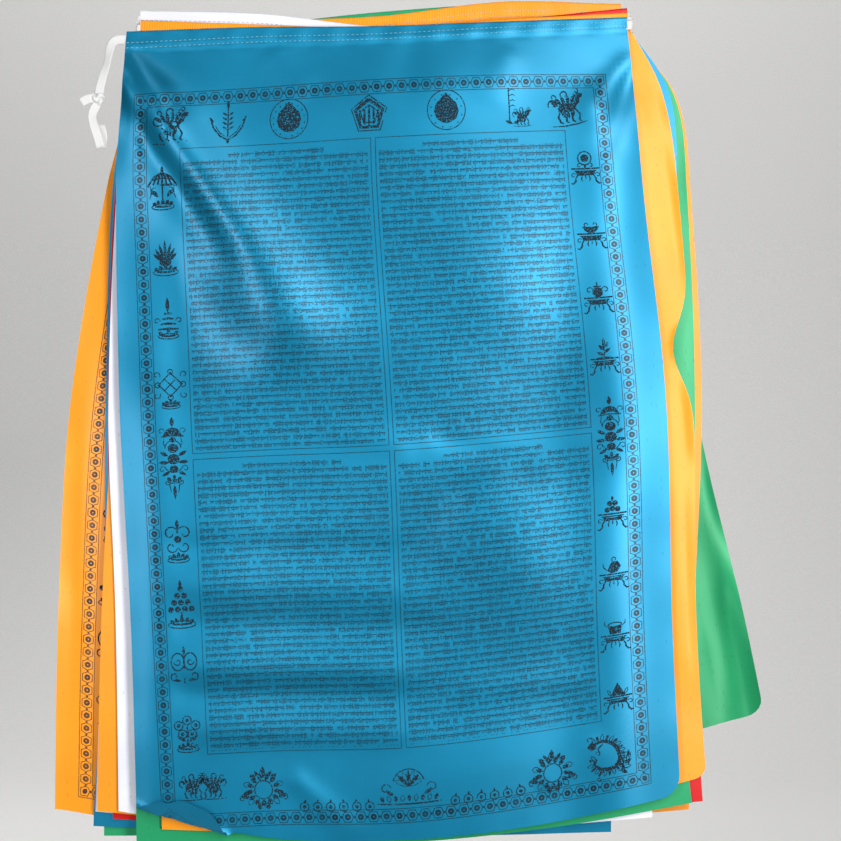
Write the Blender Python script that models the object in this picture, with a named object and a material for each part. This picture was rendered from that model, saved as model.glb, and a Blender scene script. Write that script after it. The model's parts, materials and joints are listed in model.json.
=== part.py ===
"""Tibetan prayer flag string: twenty cloth flags on one cotton tape, gathered flag on flag into a
hanging stack. Metres, +Z up. The flags face -Y, the stack's top edge is at the origin, and the
flags hang down from it. Each flag is one sheet with its hem, and each run of tape is its own piece.

Run it with: blender --background --python part.py
"""

import math
from collections import namedtuple

import bmesh
import bpy
from mathutils import Vector

MM = 0.001

# Cloth
SHEET_THICK = 1.1 * MM
HEM_THICK = 1.6 * MM
HEM_EDGE_THICK = 0.8 * MM
HEM_ROUND = 1.5 * MM
HEM_TALL = 15.0 * MM
HEM_TURN = 1.0 * MM
FRONT_HEM_TALL_LEFT = 17.0 * MM
FRONT_HEM_TALL_RIGHT = 10.0 * MM

# Stack, front to back
TOP_PITCH = 2.35 * MM
LOW_PITCH = 3.1 * MM
PITCH_GROWS_OVER = 700.0 * MM
FRONT_GAP = 1.6 * MM
FRONT_GAP_LOW = 2.6 * MM

# Tape
TAPE_WIDE = 8.5 * MM
TAPE_THICK = 0.8 * MM
TAPE_GAP = 0.3 * MM
LOOP_REACH = 6.0 * MM
LOOP_DROP = 7.5 * MM
LOOP_TURN_STEPS = 6
KNOT_HALF = (6.0 * MM, 3.6 * MM, 5.5 * MM)
KNOT_CENTRE = (-268.0 * MM, -69.0 * MM)
KNOT_SEGMENTS = 12
KNOT_RINGS = 8
KNOT_LUMP = 0.10
# Below this sine between a run of tape and the viewer's line, the run goes in depth
IN_DEPTH = 0.6

# The heights, in millimetres below the top edge, at which a flag's sides are given
LEVELS = (0, -60, -150, -350, -550, -735)
# The shares of a flag's width at which its top and bottom edges are given
SHARES = (0.0, 0.25, 0.5, 0.75, 1.0)

Flag = namedtuple("Flag", "name cloth left right top bottom")
# Front to back, in millimetres: x of the left and right side at LEVELS, z of the edges at SHARES
FLAGS = [
    Flag("blue_1", "blue", (-242, -246, -252, -248, -237, -231), (218, 224, 232, 253, 258, 267),
         (-7, -3, -2, 2, 6), (-720, -747, -748, -733, -706)),
    Flag("yellow_1", "yellow", (-230, -233, -235, -225, -219, -209), (219, 250, 265, 279, 281, 293),
         (4, 0, -3, 5, 11), (-740, -744, -742, -723, -691)),
    Flag("green_1", "green", (-229, -236, -242, -244, -236, -233), (218, 225, 235, 247, 260, 279),
         (-4, -4, -3, 0, 5), (-754, -754, -753, -739, -716)),
    Flag("red_1", "red", (-230, -234, -239, -237, -227, -222), (219, 231, 240, 256, 275, 289),
         (-4, -4, -2, 5, 16), (-742, -745, -744, -727, -715)),
    Flag("white_1", "white", (-231, -242, -253, -260, -253, -250), (219, 233, 239, 245, 246, 241),
         (14, 11, -1, 0, 6), (-725, -743, -748, -741, -730)),
    Flag("blue_2", "blue", (-230, -236, -241, -241, -234, -230), (219, 258, 265, 258, 258, 263),
         (-3, -3, -2, 1, 5), (-731, -741, -743, -731, -713)),
    Flag("yellow_2", "yellow", (-231, -240, -249, -257, -267, -271), (214, 232, 241, 246, 241, 236),
         (7, 6, 10, 23, 21), (-726, -738, -743, -731, -717)),
    Flag("green_2", "green", (-231, -232, -233, -223, -219, -216), (212, 262, 275, 282, 279, 279),
         (-2, 3, 14, 21, 18), (-736, -742, -744, -732, -715)),
    Flag("red_2", "red", (-231, -242, -256, -262, -258, -257), (216, 230, 237, 243, 243, 242),
         (-2, -2, 0, 3, 6), (-734, -741, -742, -732, -718)),
    Flag("white_2", "white", (-232, -239, -247, -258, -267, -274), (218, 230, 237, 242, 240, 233),
         (-2, -1, 0, 3, 6), (-728, -739, -742, -730, -719)),
    Flag("blue_3", "blue", (-232, -244, -259, -265, -266, -276), (218, 225, 233, 233, 222, 205),
         (-2, -1, 0, 3, 7), (-742, -746, -752, -751, -747)),
    Flag("yellow_3", "yellow", (-232, -241, -265, -298, -309, -312), (211, 208, 206, 201, 196, 186),
         (-1, 0, 1, 3, 5), (-726, -746, -748, -738, -725)),
    Flag("green_3", "green", (-232, -244, -257, -263, -268, -267), (218, 228, 235, 233, 230, 224),
         (-1, 0, 1, 4, 7), (-752, -751, -752, -744, -731)),
    Flag("red_3", "red", (-232, -239, -249, -249, -244, -239), (219, 230, 238, 248, 252, 257),
         (0, 0, 1, 4, 7), (-734, -741, -741, -730, -717)),
    Flag("white_3", "white", (-232, -238, -244, -240, -233, -227), (220, 236, 248, 260, 268, 273),
         (0, 0, 1, 4, 8), (-732, -740, -740, -728, -713)),
    Flag("blue_4", "blue", (-232, -239, -247, -247, -240, -235), (220, 233, 243, 253, 257, 262),
         (0, 1, 2, 4, 7), (-736, -742, -742, -731, -717)),
    Flag("yellow_4", "yellow", (-233, -229, -226, -214, -214, -219), (219, 267, 281, 291, 284, 279),
         (0, 1, 2, 5, 8), (-742, -748, -748, -739, -729)),
    Flag("green_4", "green", (-233, -232, -230, -225, -219, -215), (219, 246, 261, 285, 331, 366),
         (1, 1, 2, 5, 8), (-728, -725, -709, -677, -638)),
    Flag("red_4", "red", (-233, -239, -246, -242, -236, -231), (222, 235, 246, 255, 263, 269),
         (1, 1, 2, 6, 8), (-734, -741, -741, -728, -713)),
    Flag("white_4", "white", (-234, -240, -248, -246, -238, -233), (223, 243, 256, 271, 282, 292),
         (1, 1, 2, 6, 8), (-730, -740, -742, -729, -710)),
]

Fold = namedtuple("Fold", "x_top z_top x_low z_low wide_top wide_low rise")
# Soft ridges (rise above 0, towards the viewer) and troughs that all flags share, in millimetres
DRAPE = [
    Fold(-215, -70, -20, -345, 50, 85, 6.0),
    Fold(-250, -100, -170, -380, 55, 70, -3.0),
    Fold(205, -70, 70, -310, 60, 100, 4.5),
    Fold(-205, -330, -205, -735, 80, 100, 5.0),
    Fold(20, -400, 90, -690, 80, 100, -5.0),
    Fold(255, -240, 265, -735, 75, 85, 6.0),
    Fold(150, -430, 165, -735, 70, 90, 2.5),
]
# What the front flag does besides, always towards the viewer
FRONT_DRAPE = [
    Fold(-215, -45, -30, -330, 16, 46, 4.0),
    Fold(-242, -60, -244, -420, 16, 26, 2.5),
    Fold(130, -70, 170, -330, 40, 70, 3.0),
    Fold(-170, -430, -150, -740, 60, 90, 3.0),
    Fold(215, -150, 240, -690, 26, 44, 3.0),
    Fold(60, -440, 200, -560, 40, 50, 2.0),
]
FOLD_FADE_IN = 0.22
FOLD_FADE_OUT = 0.30

Tuck = namedtuple("Tuck", "flag side z half_tall depth")
# Where a side of a flag turns back out of sight for a short way, in millimetres
TUCKS = [
    Tuck("yellow_1", "right", -300, 36, 17),
]

Wing = namedtuple("Wing", "flag side from_x reach curl column")
# Where a flag stands free beside the stack and curls towards the viewer, in millimetres, and the
# share of the way from the last inner column to the edge at which its mesh has one more
WINGS = [
    Wing("yellow_3", "left", -282, 30, 5, 0.72),
    Wing("green_4", "right", 302, 50, 20, 0.74),
]
WING_GROWS_OVER = 300

TiePoint = namedtuple("TiePoint", "x y z turn")
# The free tape at the front flag's left hem end: millimetres, y counted from the hem's middle, and
# the turn of its broad side in degrees
TIE_UPPER = [
    TiePoint(-243.6, 0.0, -14.5, 0),
    TiePoint(-247.5, 0.0, -14.3, 0),
    TiePoint(-252.0, -0.2, -15.0, 0),
    TiePoint(-255.6, -0.6, -18.0, 6),
    TiePoint(-257.6, -1.2, -23.0, 16),
    TiePoint(-258.8, -1.8, -29.0, 28),
    TiePoint(-260.2, -2.2, -36.0, 32),
    TiePoint(-262.2, -2.2, -43.0, 24),
    TiePoint(-264.4, -1.8, -50.0, 12),
    TiePoint(-266.4, -1.0, -57.0, 4),
    TiePoint(-267.6, -0.4, -63.0, 0),
]
TIE_END = [
    TiePoint(-274.4, -0.5, -68.5, 0),
    TiePoint(-277.5, -0.8, -69.0, 0),
    TiePoint(-281.0, -1.4, -70.6, 0),
    TiePoint(-284.0, -2.0, -72.6, 0),
]
TIE_TAIL = [
    TiePoint(-270.0, 0.0, -74.9, 0),
    TiePoint(-272.6, -0.4, -79.5, -14),
    TiePoint(-273.8, -0.8, -85.0, -26),
    TiePoint(-272.8, -1.2, -91.5, -22),
    TiePoint(-270.6, -1.4, -98.5, -10),
    TiePoint(-268.6, -1.2, -105.0, -4),
    TiePoint(-267.2, -0.6, -110.5, 0),
    TiePoint(-266.5, 0.9, -113.2, 0),
    TiePoint(-266.1, 2.6, -113.2, 0),
    TiePoint(-265.6, 4.0, -110.6, 0),
    TiePoint(-264.8, 4.6, -105.0, 6),
    TiePoint(-265.0, 4.8, -98.5, 20),
    TiePoint(-266.6, 4.8, -92.0, 34),
]

# Mesh stations, in millimetres. The inner columns and the upper rows are the same on all flags
# behind the front one, so that their facets nest. The last rows share out what is left.
INNER_COLUMNS = (-203, -150, -98, -46, 6, 58, 108, 157, 206)
LEAST_COLUMN = 3
UPPER_ROWS = (-40, -110, -200, -290, -345, -450, -570)
LOWER_ROWS = 2
FRONT_COLUMNS = 18
FRONT_BODY_ROWS = 20

COLOURS = {
    "blue": (0.020, 0.245, 0.480),
    "yellow": (0.950, 0.360, 0.030),
    "green": (0.020, 0.260, 0.080),
    "red": (0.620, 0.020, 0.020),
    "white": (0.760, 0.740, 0.820),
    "tape": (0.860, 0.850, 0.830),
}
CLOTH_ROUGHNESS = 0.55
TAPE_ROUGHNESS = 0.85


def clear_scene():
    """Empties the file."""
    for obj in list(bpy.data.objects):
        bpy.data.objects.remove(obj, do_unlink=True)


def material(name):
    """The plain material of one dye."""
    found = bpy.data.materials.get(name)
    if found:
        return found
    made = bpy.data.materials.new(name)
    made.use_nodes = True
    shader = made.node_tree.nodes["Principled BSDF"]
    shader.inputs["Base Color"].default_value = (*COLOURS[name], 1.0)
    shader.inputs["Roughness"].default_value = TAPE_ROUGHNESS if name == "tape" else CLOTH_ROUGHNESS
    shader.inputs["Metallic"].default_value = 0.0
    return made


def smooth(t):
    """0 up to t = 0, 1 from t = 1, and a soft step between."""
    t = min(max(t, 0.0), 1.0)
    return t * t * (3.0 - 2.0 * t)


def curve(stations, values, at):
    """A smooth curve through values at stations, which may run up or down."""
    step = 1 if stations[-1] > stations[0] else -1
    last = len(stations) - 1
    i = 0
    while i < last - 1 and step * at > step * stations[i + 1]:
        i += 1

    def slope(k):
        low, high = max(k - 1, 0), min(k + 1, last)
        return (values[high] - values[low]) / (stations[high] - stations[low])

    span = stations[i + 1] - stations[i]
    t = min(max((at - stations[i]) / span, 0.0), 1.0)
    return (
        (2 * t**3 - 3 * t**2 + 1) * values[i]
        + (t**3 - 2 * t**2 + t) * span * slope(i)
        + (3 * t**2 - 2 * t**3) * values[i + 1]
        + (t**3 - t**2) * span * slope(i + 1)
    )


def side_x(flag, side, z):
    """x of a flag's side at height z, in millimetres."""
    x = curve(LEVELS, getattr(flag, side), z)
    for tuck in TUCKS:
        if (tuck.flag, tuck.side) == (flag.name, side):
            inwards = -1 if side == "right" else 1
            x += inwards * tuck.depth * math.exp(-(((z - tuck.z) / tuck.half_tall) ** 2))
    return x


def rise(folds, x, z):
    """How far the folds lift the cloth towards the viewer at x, z, in millimetres."""
    total = 0.0
    for fold in folds:
        along_x, along_z = fold.x_low - fold.x_top, fold.z_low - fold.z_top
        length_2 = along_x**2 + along_z**2
        t = ((x - fold.x_top) * along_x + (z - fold.z_top) * along_z) / length_2
        held = min(max(t, 0.0), 1.0)
        off = math.hypot(
            x - fold.x_top - held * along_x,
            z - fold.z_top - held * along_z,
        )
        wide = fold.wide_top + (fold.wide_low - fold.wide_top) * held
        fade = smooth((t + FOLD_FADE_IN / 2) / FOLD_FADE_IN)
        if fold.z_low > LEVELS[-1]:
            fade *= 1.0 - smooth((t - 1.0 + FOLD_FADE_OUT) / FOLD_FADE_OUT)
        total += fold.rise * fade * math.exp(-((off / wide) ** 2))
    return total


def wing_curl(flag, x, z):
    """How far a free side curls towards the viewer, in millimetres."""
    total = 0.0
    for wing in WINGS:
        if wing.flag != flag.name:
            continue
        out = (x - wing.from_x) * (1 if wing.side == "right" else -1)
        total += wing.curl * max(out / wing.reach, 0.0) ** 2 * smooth(-z / WING_GROWS_OVER)
    return total


def cloth_y(index, x, z):
    """y, in metres, of the face that a flag shows to the viewer, at x, z in millimetres."""
    flag = FLAGS[index]
    lower = smooth(-z * MM / PITCH_GROWS_OVER)
    pitch = TOP_PITCH + (LOW_PITCH - TOP_PITCH) * lower
    y = (index - (len(FLAGS) - 1) / 2) * pitch
    y -= (rise(DRAPE, x, z) + wing_curl(flag, x, z)) * MM
    if index == 0:
        y -= FRONT_GAP + (FRONT_GAP_LOW - FRONT_GAP) * lower + rise(FRONT_DRAPE, x, z) * MM
    return y


def hem_tall(index, share):
    """Height of the hem. On the front flag it rolls back towards the right, so less of it shows."""
    if index:
        return HEM_TALL
    return FRONT_HEM_TALL_LEFT + (FRONT_HEM_TALL_RIGHT - FRONT_HEM_TALL_LEFT) * share


def row_kinds(index):
    """What each row of a flag's mesh is, top to bottom: a line of the hem, or (start, share), a
    share of the height between start, or the hem where that is None, and the bottom."""
    if index == 0:
        body = [(None, (i + 1) / FRONT_BODY_ROWS) for i in range(FRONT_BODY_ROWS)]
    else:
        body = [(z, 0.0) for z in UPPER_ROWS]
        body += [(UPPER_ROWS[-1], (i + 1) / LOWER_ROWS) for i in range(LOWER_ROWS)]
    return ["edge", "round", "turn", "hem"] + body


def row_place(index, kind, share, top, bottom):
    """z in millimetres, thickness, and how far the face lies behind the sheet's own face."""
    hem_low = top - hem_tall(index, share) / MM
    if kind == "edge":
        return top, HEM_EDGE_THICK, (HEM_THICK - HEM_EDGE_THICK) / 2
    if kind == "round":
        return top - HEM_ROUND / MM, HEM_THICK, 0.0
    if kind == "turn":
        return hem_low + HEM_TURN / MM, HEM_THICK, 0.0
    if kind == "hem":
        return hem_low, SHEET_THICK, 0.0
    start, part = kind
    start = hem_low if start is None else start
    return start + (bottom - start) * part, SHEET_THICK, 0.0


def column_shares(index, left, right):
    """Shares of the width at which a row of the mesh has its points."""
    if index == 0:
        return [i / FRONT_COLUMNS for i in range(FRONT_COLUMNS + 1)]
    flag = FLAGS[index]
    least, most = max(flag.left) + LEAST_COLUMN, min(flag.right) - LEAST_COLUMN
    inner = [x for x in INNER_COLUMNS if least <= x <= most]
    places = [left, *inner, right]
    for wing in WINGS:
        if wing.flag == flag.name and wing.side == "left":
            places.insert(1, inner[0] + (left - inner[0]) * wing.column)
        elif wing.flag == flag.name:
            places.insert(-1, inner[-1] + (right - inner[-1]) * wing.column)
    return [(x - left) / (right - left) for x in places]


def sheet_points(index):
    """Rows of (front point, back point) of one flag, in metres."""
    flag = FLAGS[index]
    rows = []
    for kind in row_kinds(index):
        sides = []
        for side, share, end in (("left", 0.0, 0), ("right", 1.0, -1)):
            z, _, _ = row_place(index, kind, share, flag.top[end], flag.bottom[end])
            sides.append(side_x(flag, side, z))
        left, right = sides
        row = []
        for share in column_shares(index, left, right):
            top = curve(SHARES, flag.top, share)
            bottom = curve(SHARES, flag.bottom, share)
            z, thick, set_back = row_place(index, kind, share, top, bottom)
            x = left + (right - left) * share
            y = cloth_y(index, x, z) + set_back
            row.append(((x * MM, y, z * MM), (x * MM, y + thick, z * MM)))
        rows.append(row)
    return rows


def new_object(name, mesh_maker, dye):
    """A mesh object of its own, shaded smooth but for its edges."""
    maker = bmesh.new()
    mesh_maker(maker)
    mesh = bpy.data.meshes.new(name)
    maker.to_mesh(mesh)
    maker.free()
    mesh.shade_smooth()
    mesh.set_sharp_from_angle(angle=math.radians(40))
    mesh.materials.append(material(dye))
    obj = bpy.data.objects.new(name, mesh)
    bpy.context.scene.collection.objects.link(obj)
    return obj


def make_flag(index):
    """One flag: a sheet of even thickness with a thicker hem along its top."""
    rows = sheet_points(index)

    def fill(maker):
        front = [[maker.verts.new(pair[0]) for pair in row] for row in rows]
        back = [[maker.verts.new(pair[1]) for pair in row] for row in rows]
        down, across = len(rows) - 1, len(rows[0]) - 1
        for i in range(down):
            for j in range(across):
                # Split along the same diagonal on both faces, so that the sheet stays even
                a, b, c, d = front[i][j], front[i + 1][j], front[i + 1][j + 1], front[i][j + 1]
                maker.faces.new((a, b, c))
                maker.faces.new((a, c, d))
                a, b, c, d = back[i][j], back[i + 1][j], back[i + 1][j + 1], back[i][j + 1]
                maker.faces.new((a, c, b))
                maker.faces.new((a, d, c))
        for i in range(down):
            maker.faces.new((front[i][0], back[i][0], back[i + 1][0], front[i + 1][0]))
            maker.faces.new((front[i][-1], front[i + 1][-1], back[i + 1][-1], back[i][-1]))
        for j in range(across):
            maker.faces.new((front[0][j], front[0][j + 1], back[0][j + 1], back[0][j]))
            maker.faces.new((front[-1][j], back[-1][j], back[-1][j + 1], front[-1][j + 1]))

    return new_object("flag_" + FLAGS[index].name, fill, FLAGS[index].cloth)


def ribbon(name, centres, acrosses):
    """A run of flat tape along centres, its width along acrosses."""

    def fill(maker):
        rings = []
        last = len(centres) - 1
        for i, centre in enumerate(centres):
            tangent = (centres[min(i + 1, last)] - centres[max(i - 1, 0)]).normalized()
            across = acrosses[i].normalized() * TAPE_WIDE / 2
            through = across.cross(tangent).normalized() * TAPE_THICK / 2
            corners = (centre - across - through, centre + across - through)
            corners += (centre + across + through, centre - across + through)
            rings.append([maker.verts.new(corner) for corner in corners])
        for ring, following in zip(rings, rings[1:]):
            for i in range(4):
                j = (i + 1) % 4
                maker.faces.new((ring[i], ring[j], following[j], following[i]))
        maker.faces.new(rings[0][::-1])
        maker.faces.new(rings[-1])
        bmesh.ops.recalc_face_normals(maker, faces=maker.faces)

    return new_object(name, fill, "tape")


def hem_end(index, side):
    """Where the tape leaves a hem at one side, clear of its whole end, in metres."""
    flag = FLAGS[index]
    end, share, furthest = (0, 0.0, min) if side == "left" else (-1, 1.0, max)
    top = flag.top[end]
    z = top - LOOP_DROP / MM
    high = top - HEM_ROUND / MM
    low = min(z - TAPE_WIDE / 2 / MM, top - (hem_tall(index, share) - HEM_TURN) / MM)
    x = furthest(side_x(flag, side, high), side_x(flag, side, low))
    return Vector((x * MM, cloth_y(index, x, z) + HEM_THICK / 2, z * MM))


def make_loop(index):
    """The turn of tape from one flag's hem round into the next flag's hem."""
    side = "right" if index % 2 == 0 else "left"
    outwards = 1 if side == "right" else -1
    start, end = hem_end(index, side), hem_end(index + 1, side)
    clear = Vector((outwards * TAPE_GAP, 0, 0))
    far = outwards * max(outwards * start.x, outwards * end.x) + outwards * LOOP_REACH
    radius = (end.y - start.y) / 2
    centres = [start + clear]
    for i in range(LOOP_TURN_STEPS + 1):
        turn = math.pi * i / LOOP_TURN_STEPS
        x = far + outwards * radius * math.sin(turn)
        centres.append(Vector((x, start.y + radius * (1 - math.cos(turn)), 0)))
    centres.append(end + clear)
    for i, centre in enumerate(centres):
        centre.z = start.z + (end.z - start.z) * i / (len(centres) - 1)
    upright = Vector((0, 0, 1))
    return ribbon(f"tape_loop_{index + 1:02d}", centres, [upright] * len(centres))


def make_tie_run(name, table):
    """One run of the free tape. Its width lies across the run, turned out of the viewer's plane by
    each point's turn. Where the run doubles back in depth, its width stays as it was."""
    level_y = hem_end(0, "left").y
    centres = [Vector((p.x * MM, level_y + p.y * MM, p.z * MM)) for p in table]
    acrosses = []
    last = len(centres) - 1
    for i, point in enumerate(table):
        tangent = (centres[min(i + 1, last)] - centres[max(i - 1, 0)]).normalized()
        across = tangent.cross(Vector((0, -1, 0)))
        if across.length < IN_DEPTH:
            across = acrosses[-1].copy()
        if acrosses and across.dot(acrosses[-1]) < 0:
            across.negate()
        across = (across - tangent * across.dot(tangent)).normalized()
        turn = math.radians(point.turn)
        acrosses.append(across * math.cos(turn) + tangent.cross(across) * math.sin(turn))
    return ribbon(name, centres, acrosses)


def make_knot():
    """The knot where the free tape is tied: a flattened lump with three soft wraps."""
    level_y = hem_end(0, "left").y

    def fill(maker):
        bmesh.ops.create_uvsphere(
            maker, u_segments=KNOT_SEGMENTS, v_segments=KNOT_RINGS, radius=1.0
        )
        for vert in maker.verts:
            across, through, up = vert.co
            lump = 1.0 + KNOT_LUMP * math.cos(3 * math.atan2(through, across) + 2 * up)
            vert.co = Vector((
                KNOT_CENTRE[0] + KNOT_HALF[0] * across * lump,
                level_y + KNOT_HALF[1] * through * lump,
                KNOT_CENTRE[1] + KNOT_HALF[2] * up,
            ))

    return new_object("tie_knot", fill, "tape")


def main():
    """Builds the whole string."""
    clear_scene()
    for index in range(len(FLAGS)):
        make_flag(index)
    for index in range(len(FLAGS) - 1):
        make_loop(index)
    make_tie_run("tie_upper", TIE_UPPER)
    make_knot()
    make_tie_run("tie_end", TIE_END)
    make_tie_run("tie_tail", TIE_TAIL)


main()
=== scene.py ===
"""Looks of a tibetan prayer flag string: twenty printed flags on one tape, gathered flag on flag
and hung from their top edge. Each flag is a thin sheet with a turned hem, on the folds of its
solid. The border, the ruled rows and their frames are part of the cloth's finish, and the emblems
are thin films of ink. Stitches are laid along the hems by Geometry Nodes. Metres, +Z up, and the
flags face -Y.
"""

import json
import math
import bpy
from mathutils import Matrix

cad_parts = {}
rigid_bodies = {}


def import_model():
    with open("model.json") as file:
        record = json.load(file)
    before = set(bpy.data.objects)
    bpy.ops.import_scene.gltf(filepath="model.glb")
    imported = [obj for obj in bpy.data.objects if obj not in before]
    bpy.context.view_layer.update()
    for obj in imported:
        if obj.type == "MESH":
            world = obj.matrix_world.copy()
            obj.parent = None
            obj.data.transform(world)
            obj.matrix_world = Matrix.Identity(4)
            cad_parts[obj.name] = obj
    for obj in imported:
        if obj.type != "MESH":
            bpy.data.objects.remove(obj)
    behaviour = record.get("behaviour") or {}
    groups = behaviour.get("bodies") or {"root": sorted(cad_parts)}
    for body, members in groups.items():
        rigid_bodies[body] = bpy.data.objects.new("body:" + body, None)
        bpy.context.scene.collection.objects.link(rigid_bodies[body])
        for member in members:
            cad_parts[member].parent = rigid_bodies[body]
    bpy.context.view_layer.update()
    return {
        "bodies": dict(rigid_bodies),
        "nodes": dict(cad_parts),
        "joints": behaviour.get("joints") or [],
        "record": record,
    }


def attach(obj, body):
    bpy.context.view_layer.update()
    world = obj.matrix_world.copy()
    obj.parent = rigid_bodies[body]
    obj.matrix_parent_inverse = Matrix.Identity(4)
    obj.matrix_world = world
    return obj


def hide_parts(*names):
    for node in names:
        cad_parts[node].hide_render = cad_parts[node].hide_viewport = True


bl_info = {
    "name": "Prayer flag string",
    "version": (1, 0, 0),
    "blender": (4, 5, 0),
    "location": "View3D > Sidebar > Prayer flags",
    "description": "Cloth, print, stitching and tape for a gathered string of prayer flags",
    "category": "Object",
}

from collections import namedtuple

import bmesh
import bpy
import numpy as np
from mathutils import Vector

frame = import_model()

MM = 0.001

# The heights, in millimetres below the top edge, at which a flag's sides are given
LEVELS = (0, -60, -150, -350, -550, -735)
# The shares of a flag's width at which its top and bottom edges are given
SHARES = (0.0, 0.25, 0.5, 0.75, 1.0)

Flag = namedtuple("Flag", "name cloth left right top bottom")
# Front to back, in millimetres: x of the left and right side at LEVELS, z of the edges at SHARES
FLAGS = [
    Flag("blue_1", "blue", (-242, -246, -252, -248, -237, -231), (218, 224, 232, 253, 258, 267),
         (-7, -3, -2, 2, 6), (-720, -747, -748, -733, -706)),
    Flag("yellow_1", "yellow", (-230, -233, -235, -225, -219, -209), (219, 250, 265, 279, 281, 293),
         (4, 0, -3, 5, 11), (-740, -744, -742, -723, -691)),
    Flag("green_1", "green", (-229, -236, -242, -244, -236, -233), (218, 225, 235, 247, 260, 279),
         (-4, -4, -3, 0, 5), (-754, -754, -753, -739, -716)),
    Flag("red_1", "red", (-230, -234, -239, -237, -227, -222), (219, 231, 240, 256, 275, 289),
         (-4, -4, -2, 5, 16), (-742, -745, -744, -727, -715)),
    Flag("white_1", "white", (-231, -242, -253, -260, -253, -250), (219, 233, 239, 245, 246, 241),
         (14, 11, -1, 0, 6), (-725, -743, -748, -741, -730)),
    Flag("blue_2", "blue", (-230, -236, -241, -241, -234, -230), (219, 258, 265, 258, 258, 263),
         (-3, -3, -2, 1, 5), (-731, -741, -743, -731, -713)),
    Flag("yellow_2", "yellow", (-231, -240, -249, -257, -267, -271), (214, 232, 241, 246, 241, 236),
         (7, 6, 10, 23, 21), (-726, -738, -743, -731, -717)),
    Flag("green_2", "green", (-231, -232, -233, -223, -219, -216), (212, 262, 275, 282, 279, 279),
         (-2, 3, 14, 21, 18), (-736, -742, -744, -732, -715)),
    Flag("red_2", "red", (-231, -242, -256, -262, -258, -257), (216, 230, 237, 243, 243, 242),
         (-2, -2, 0, 3, 6), (-734, -741, -742, -732, -718)),
    Flag("white_2", "white", (-232, -239, -247, -258, -267, -274), (218, 230, 237, 242, 240, 233),
         (-2, -1, 0, 3, 6), (-728, -739, -742, -730, -719)),
    Flag("blue_3", "blue", (-232, -244, -259, -265, -266, -276), (218, 225, 233, 233, 222, 205),
         (-2, -1, 0, 3, 7), (-742, -746, -752, -751, -747)),
    Flag("yellow_3", "yellow", (-232, -241, -265, -298, -309, -312), (211, 208, 206, 201, 196, 186),
         (-1, 0, 1, 3, 5), (-726, -746, -748, -738, -725)),
    Flag("green_3", "green", (-232, -244, -257, -263, -268, -267), (218, 228, 235, 233, 230, 224),
         (-1, 0, 1, 4, 7), (-752, -751, -752, -744, -731)),
    Flag("red_3", "red", (-232, -239, -249, -249, -244, -239), (219, 230, 238, 248, 252, 257),
         (0, 0, 1, 4, 7), (-734, -741, -741, -730, -717)),
    Flag("white_3", "white", (-232, -238, -244, -240, -233, -227), (220, 236, 248, 260, 268, 273),
         (0, 0, 1, 4, 8), (-732, -740, -740, -728, -713)),
    Flag("blue_4", "blue", (-232, -239, -247, -247, -240, -235), (220, 233, 243, 253, 257, 262),
         (0, 1, 2, 4, 7), (-736, -742, -742, -731, -717)),
    Flag("yellow_4", "yellow", (-233, -229, -226, -214, -214, -219), (219, 267, 281, 291, 284, 279),
         (0, 1, 2, 5, 8), (-742, -748, -748, -739, -729)),
    Flag("green_4", "green", (-233, -232, -230, -225, -219, -215), (219, 246, 261, 285, 331, 366),
         (1, 1, 2, 5, 8), (-728, -725, -709, -677, -638)),
    Flag("red_4", "red", (-233, -239, -246, -242, -236, -231), (222, 235, 246, 255, 263, 269),
         (1, 1, 2, 6, 8), (-734, -741, -741, -728, -713)),
    Flag("white_4", "white", (-234, -240, -248, -246, -238, -233), (223, 243, 256, 271, 282, 292),
         (1, 1, 2, 6, 8), (-730, -740, -742, -729, -710)),
]
FRONT, REAR = 0, len(FLAGS) - 1
FLAT_WIDE, FLAT_TALL = 500.0, 750.0

# Depths, in millimetres, as the solids have them
TOP_PITCH, LOW_PITCH, PITCH_GROWS_OVER = 2.35, 3.1, 700.0
FRONT_GAP, FRONT_GAP_LOW = 1.6, 2.6
HEM_TALL, FRONT_HEM_LEFT, FRONT_HEM_RIGHT = 15.0, 17.0, 10.0
HEM_MIDDLE, SOLID_MIDDLE = 0.8, 0.55
HEM_EDGE_SHARE = 0.5

Fold = namedtuple("Fold", "x_top z_top x_low z_low wide_top wide_low rise")
# Soft ridges (rise above 0, towards the viewer) and troughs that all flags share, in millimetres
DRAPE = [
    Fold(-215, -70, -20, -345, 50, 85, 6.0),
    Fold(-250, -100, -170, -380, 55, 70, -3.0),
    Fold(205, -70, 70, -310, 60, 100, 4.5),
    Fold(-205, -330, -205, -735, 80, 100, 5.0),
    Fold(20, -400, 90, -690, 80, 100, -5.0),
    Fold(255, -240, 265, -735, 75, 85, 6.0),
    Fold(150, -430, 165, -735, 70, 90, 2.5),
]
# What the front flag does besides
FRONT_DRAPE = [
    Fold(-242, -60, -244, -420, 16, 26, 2.5),
    Fold(-170, -430, -150, -740, 60, 90, 3.0),
    Fold(60, -440, 200, -560, 40, 50, 2.0),
]
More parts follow.
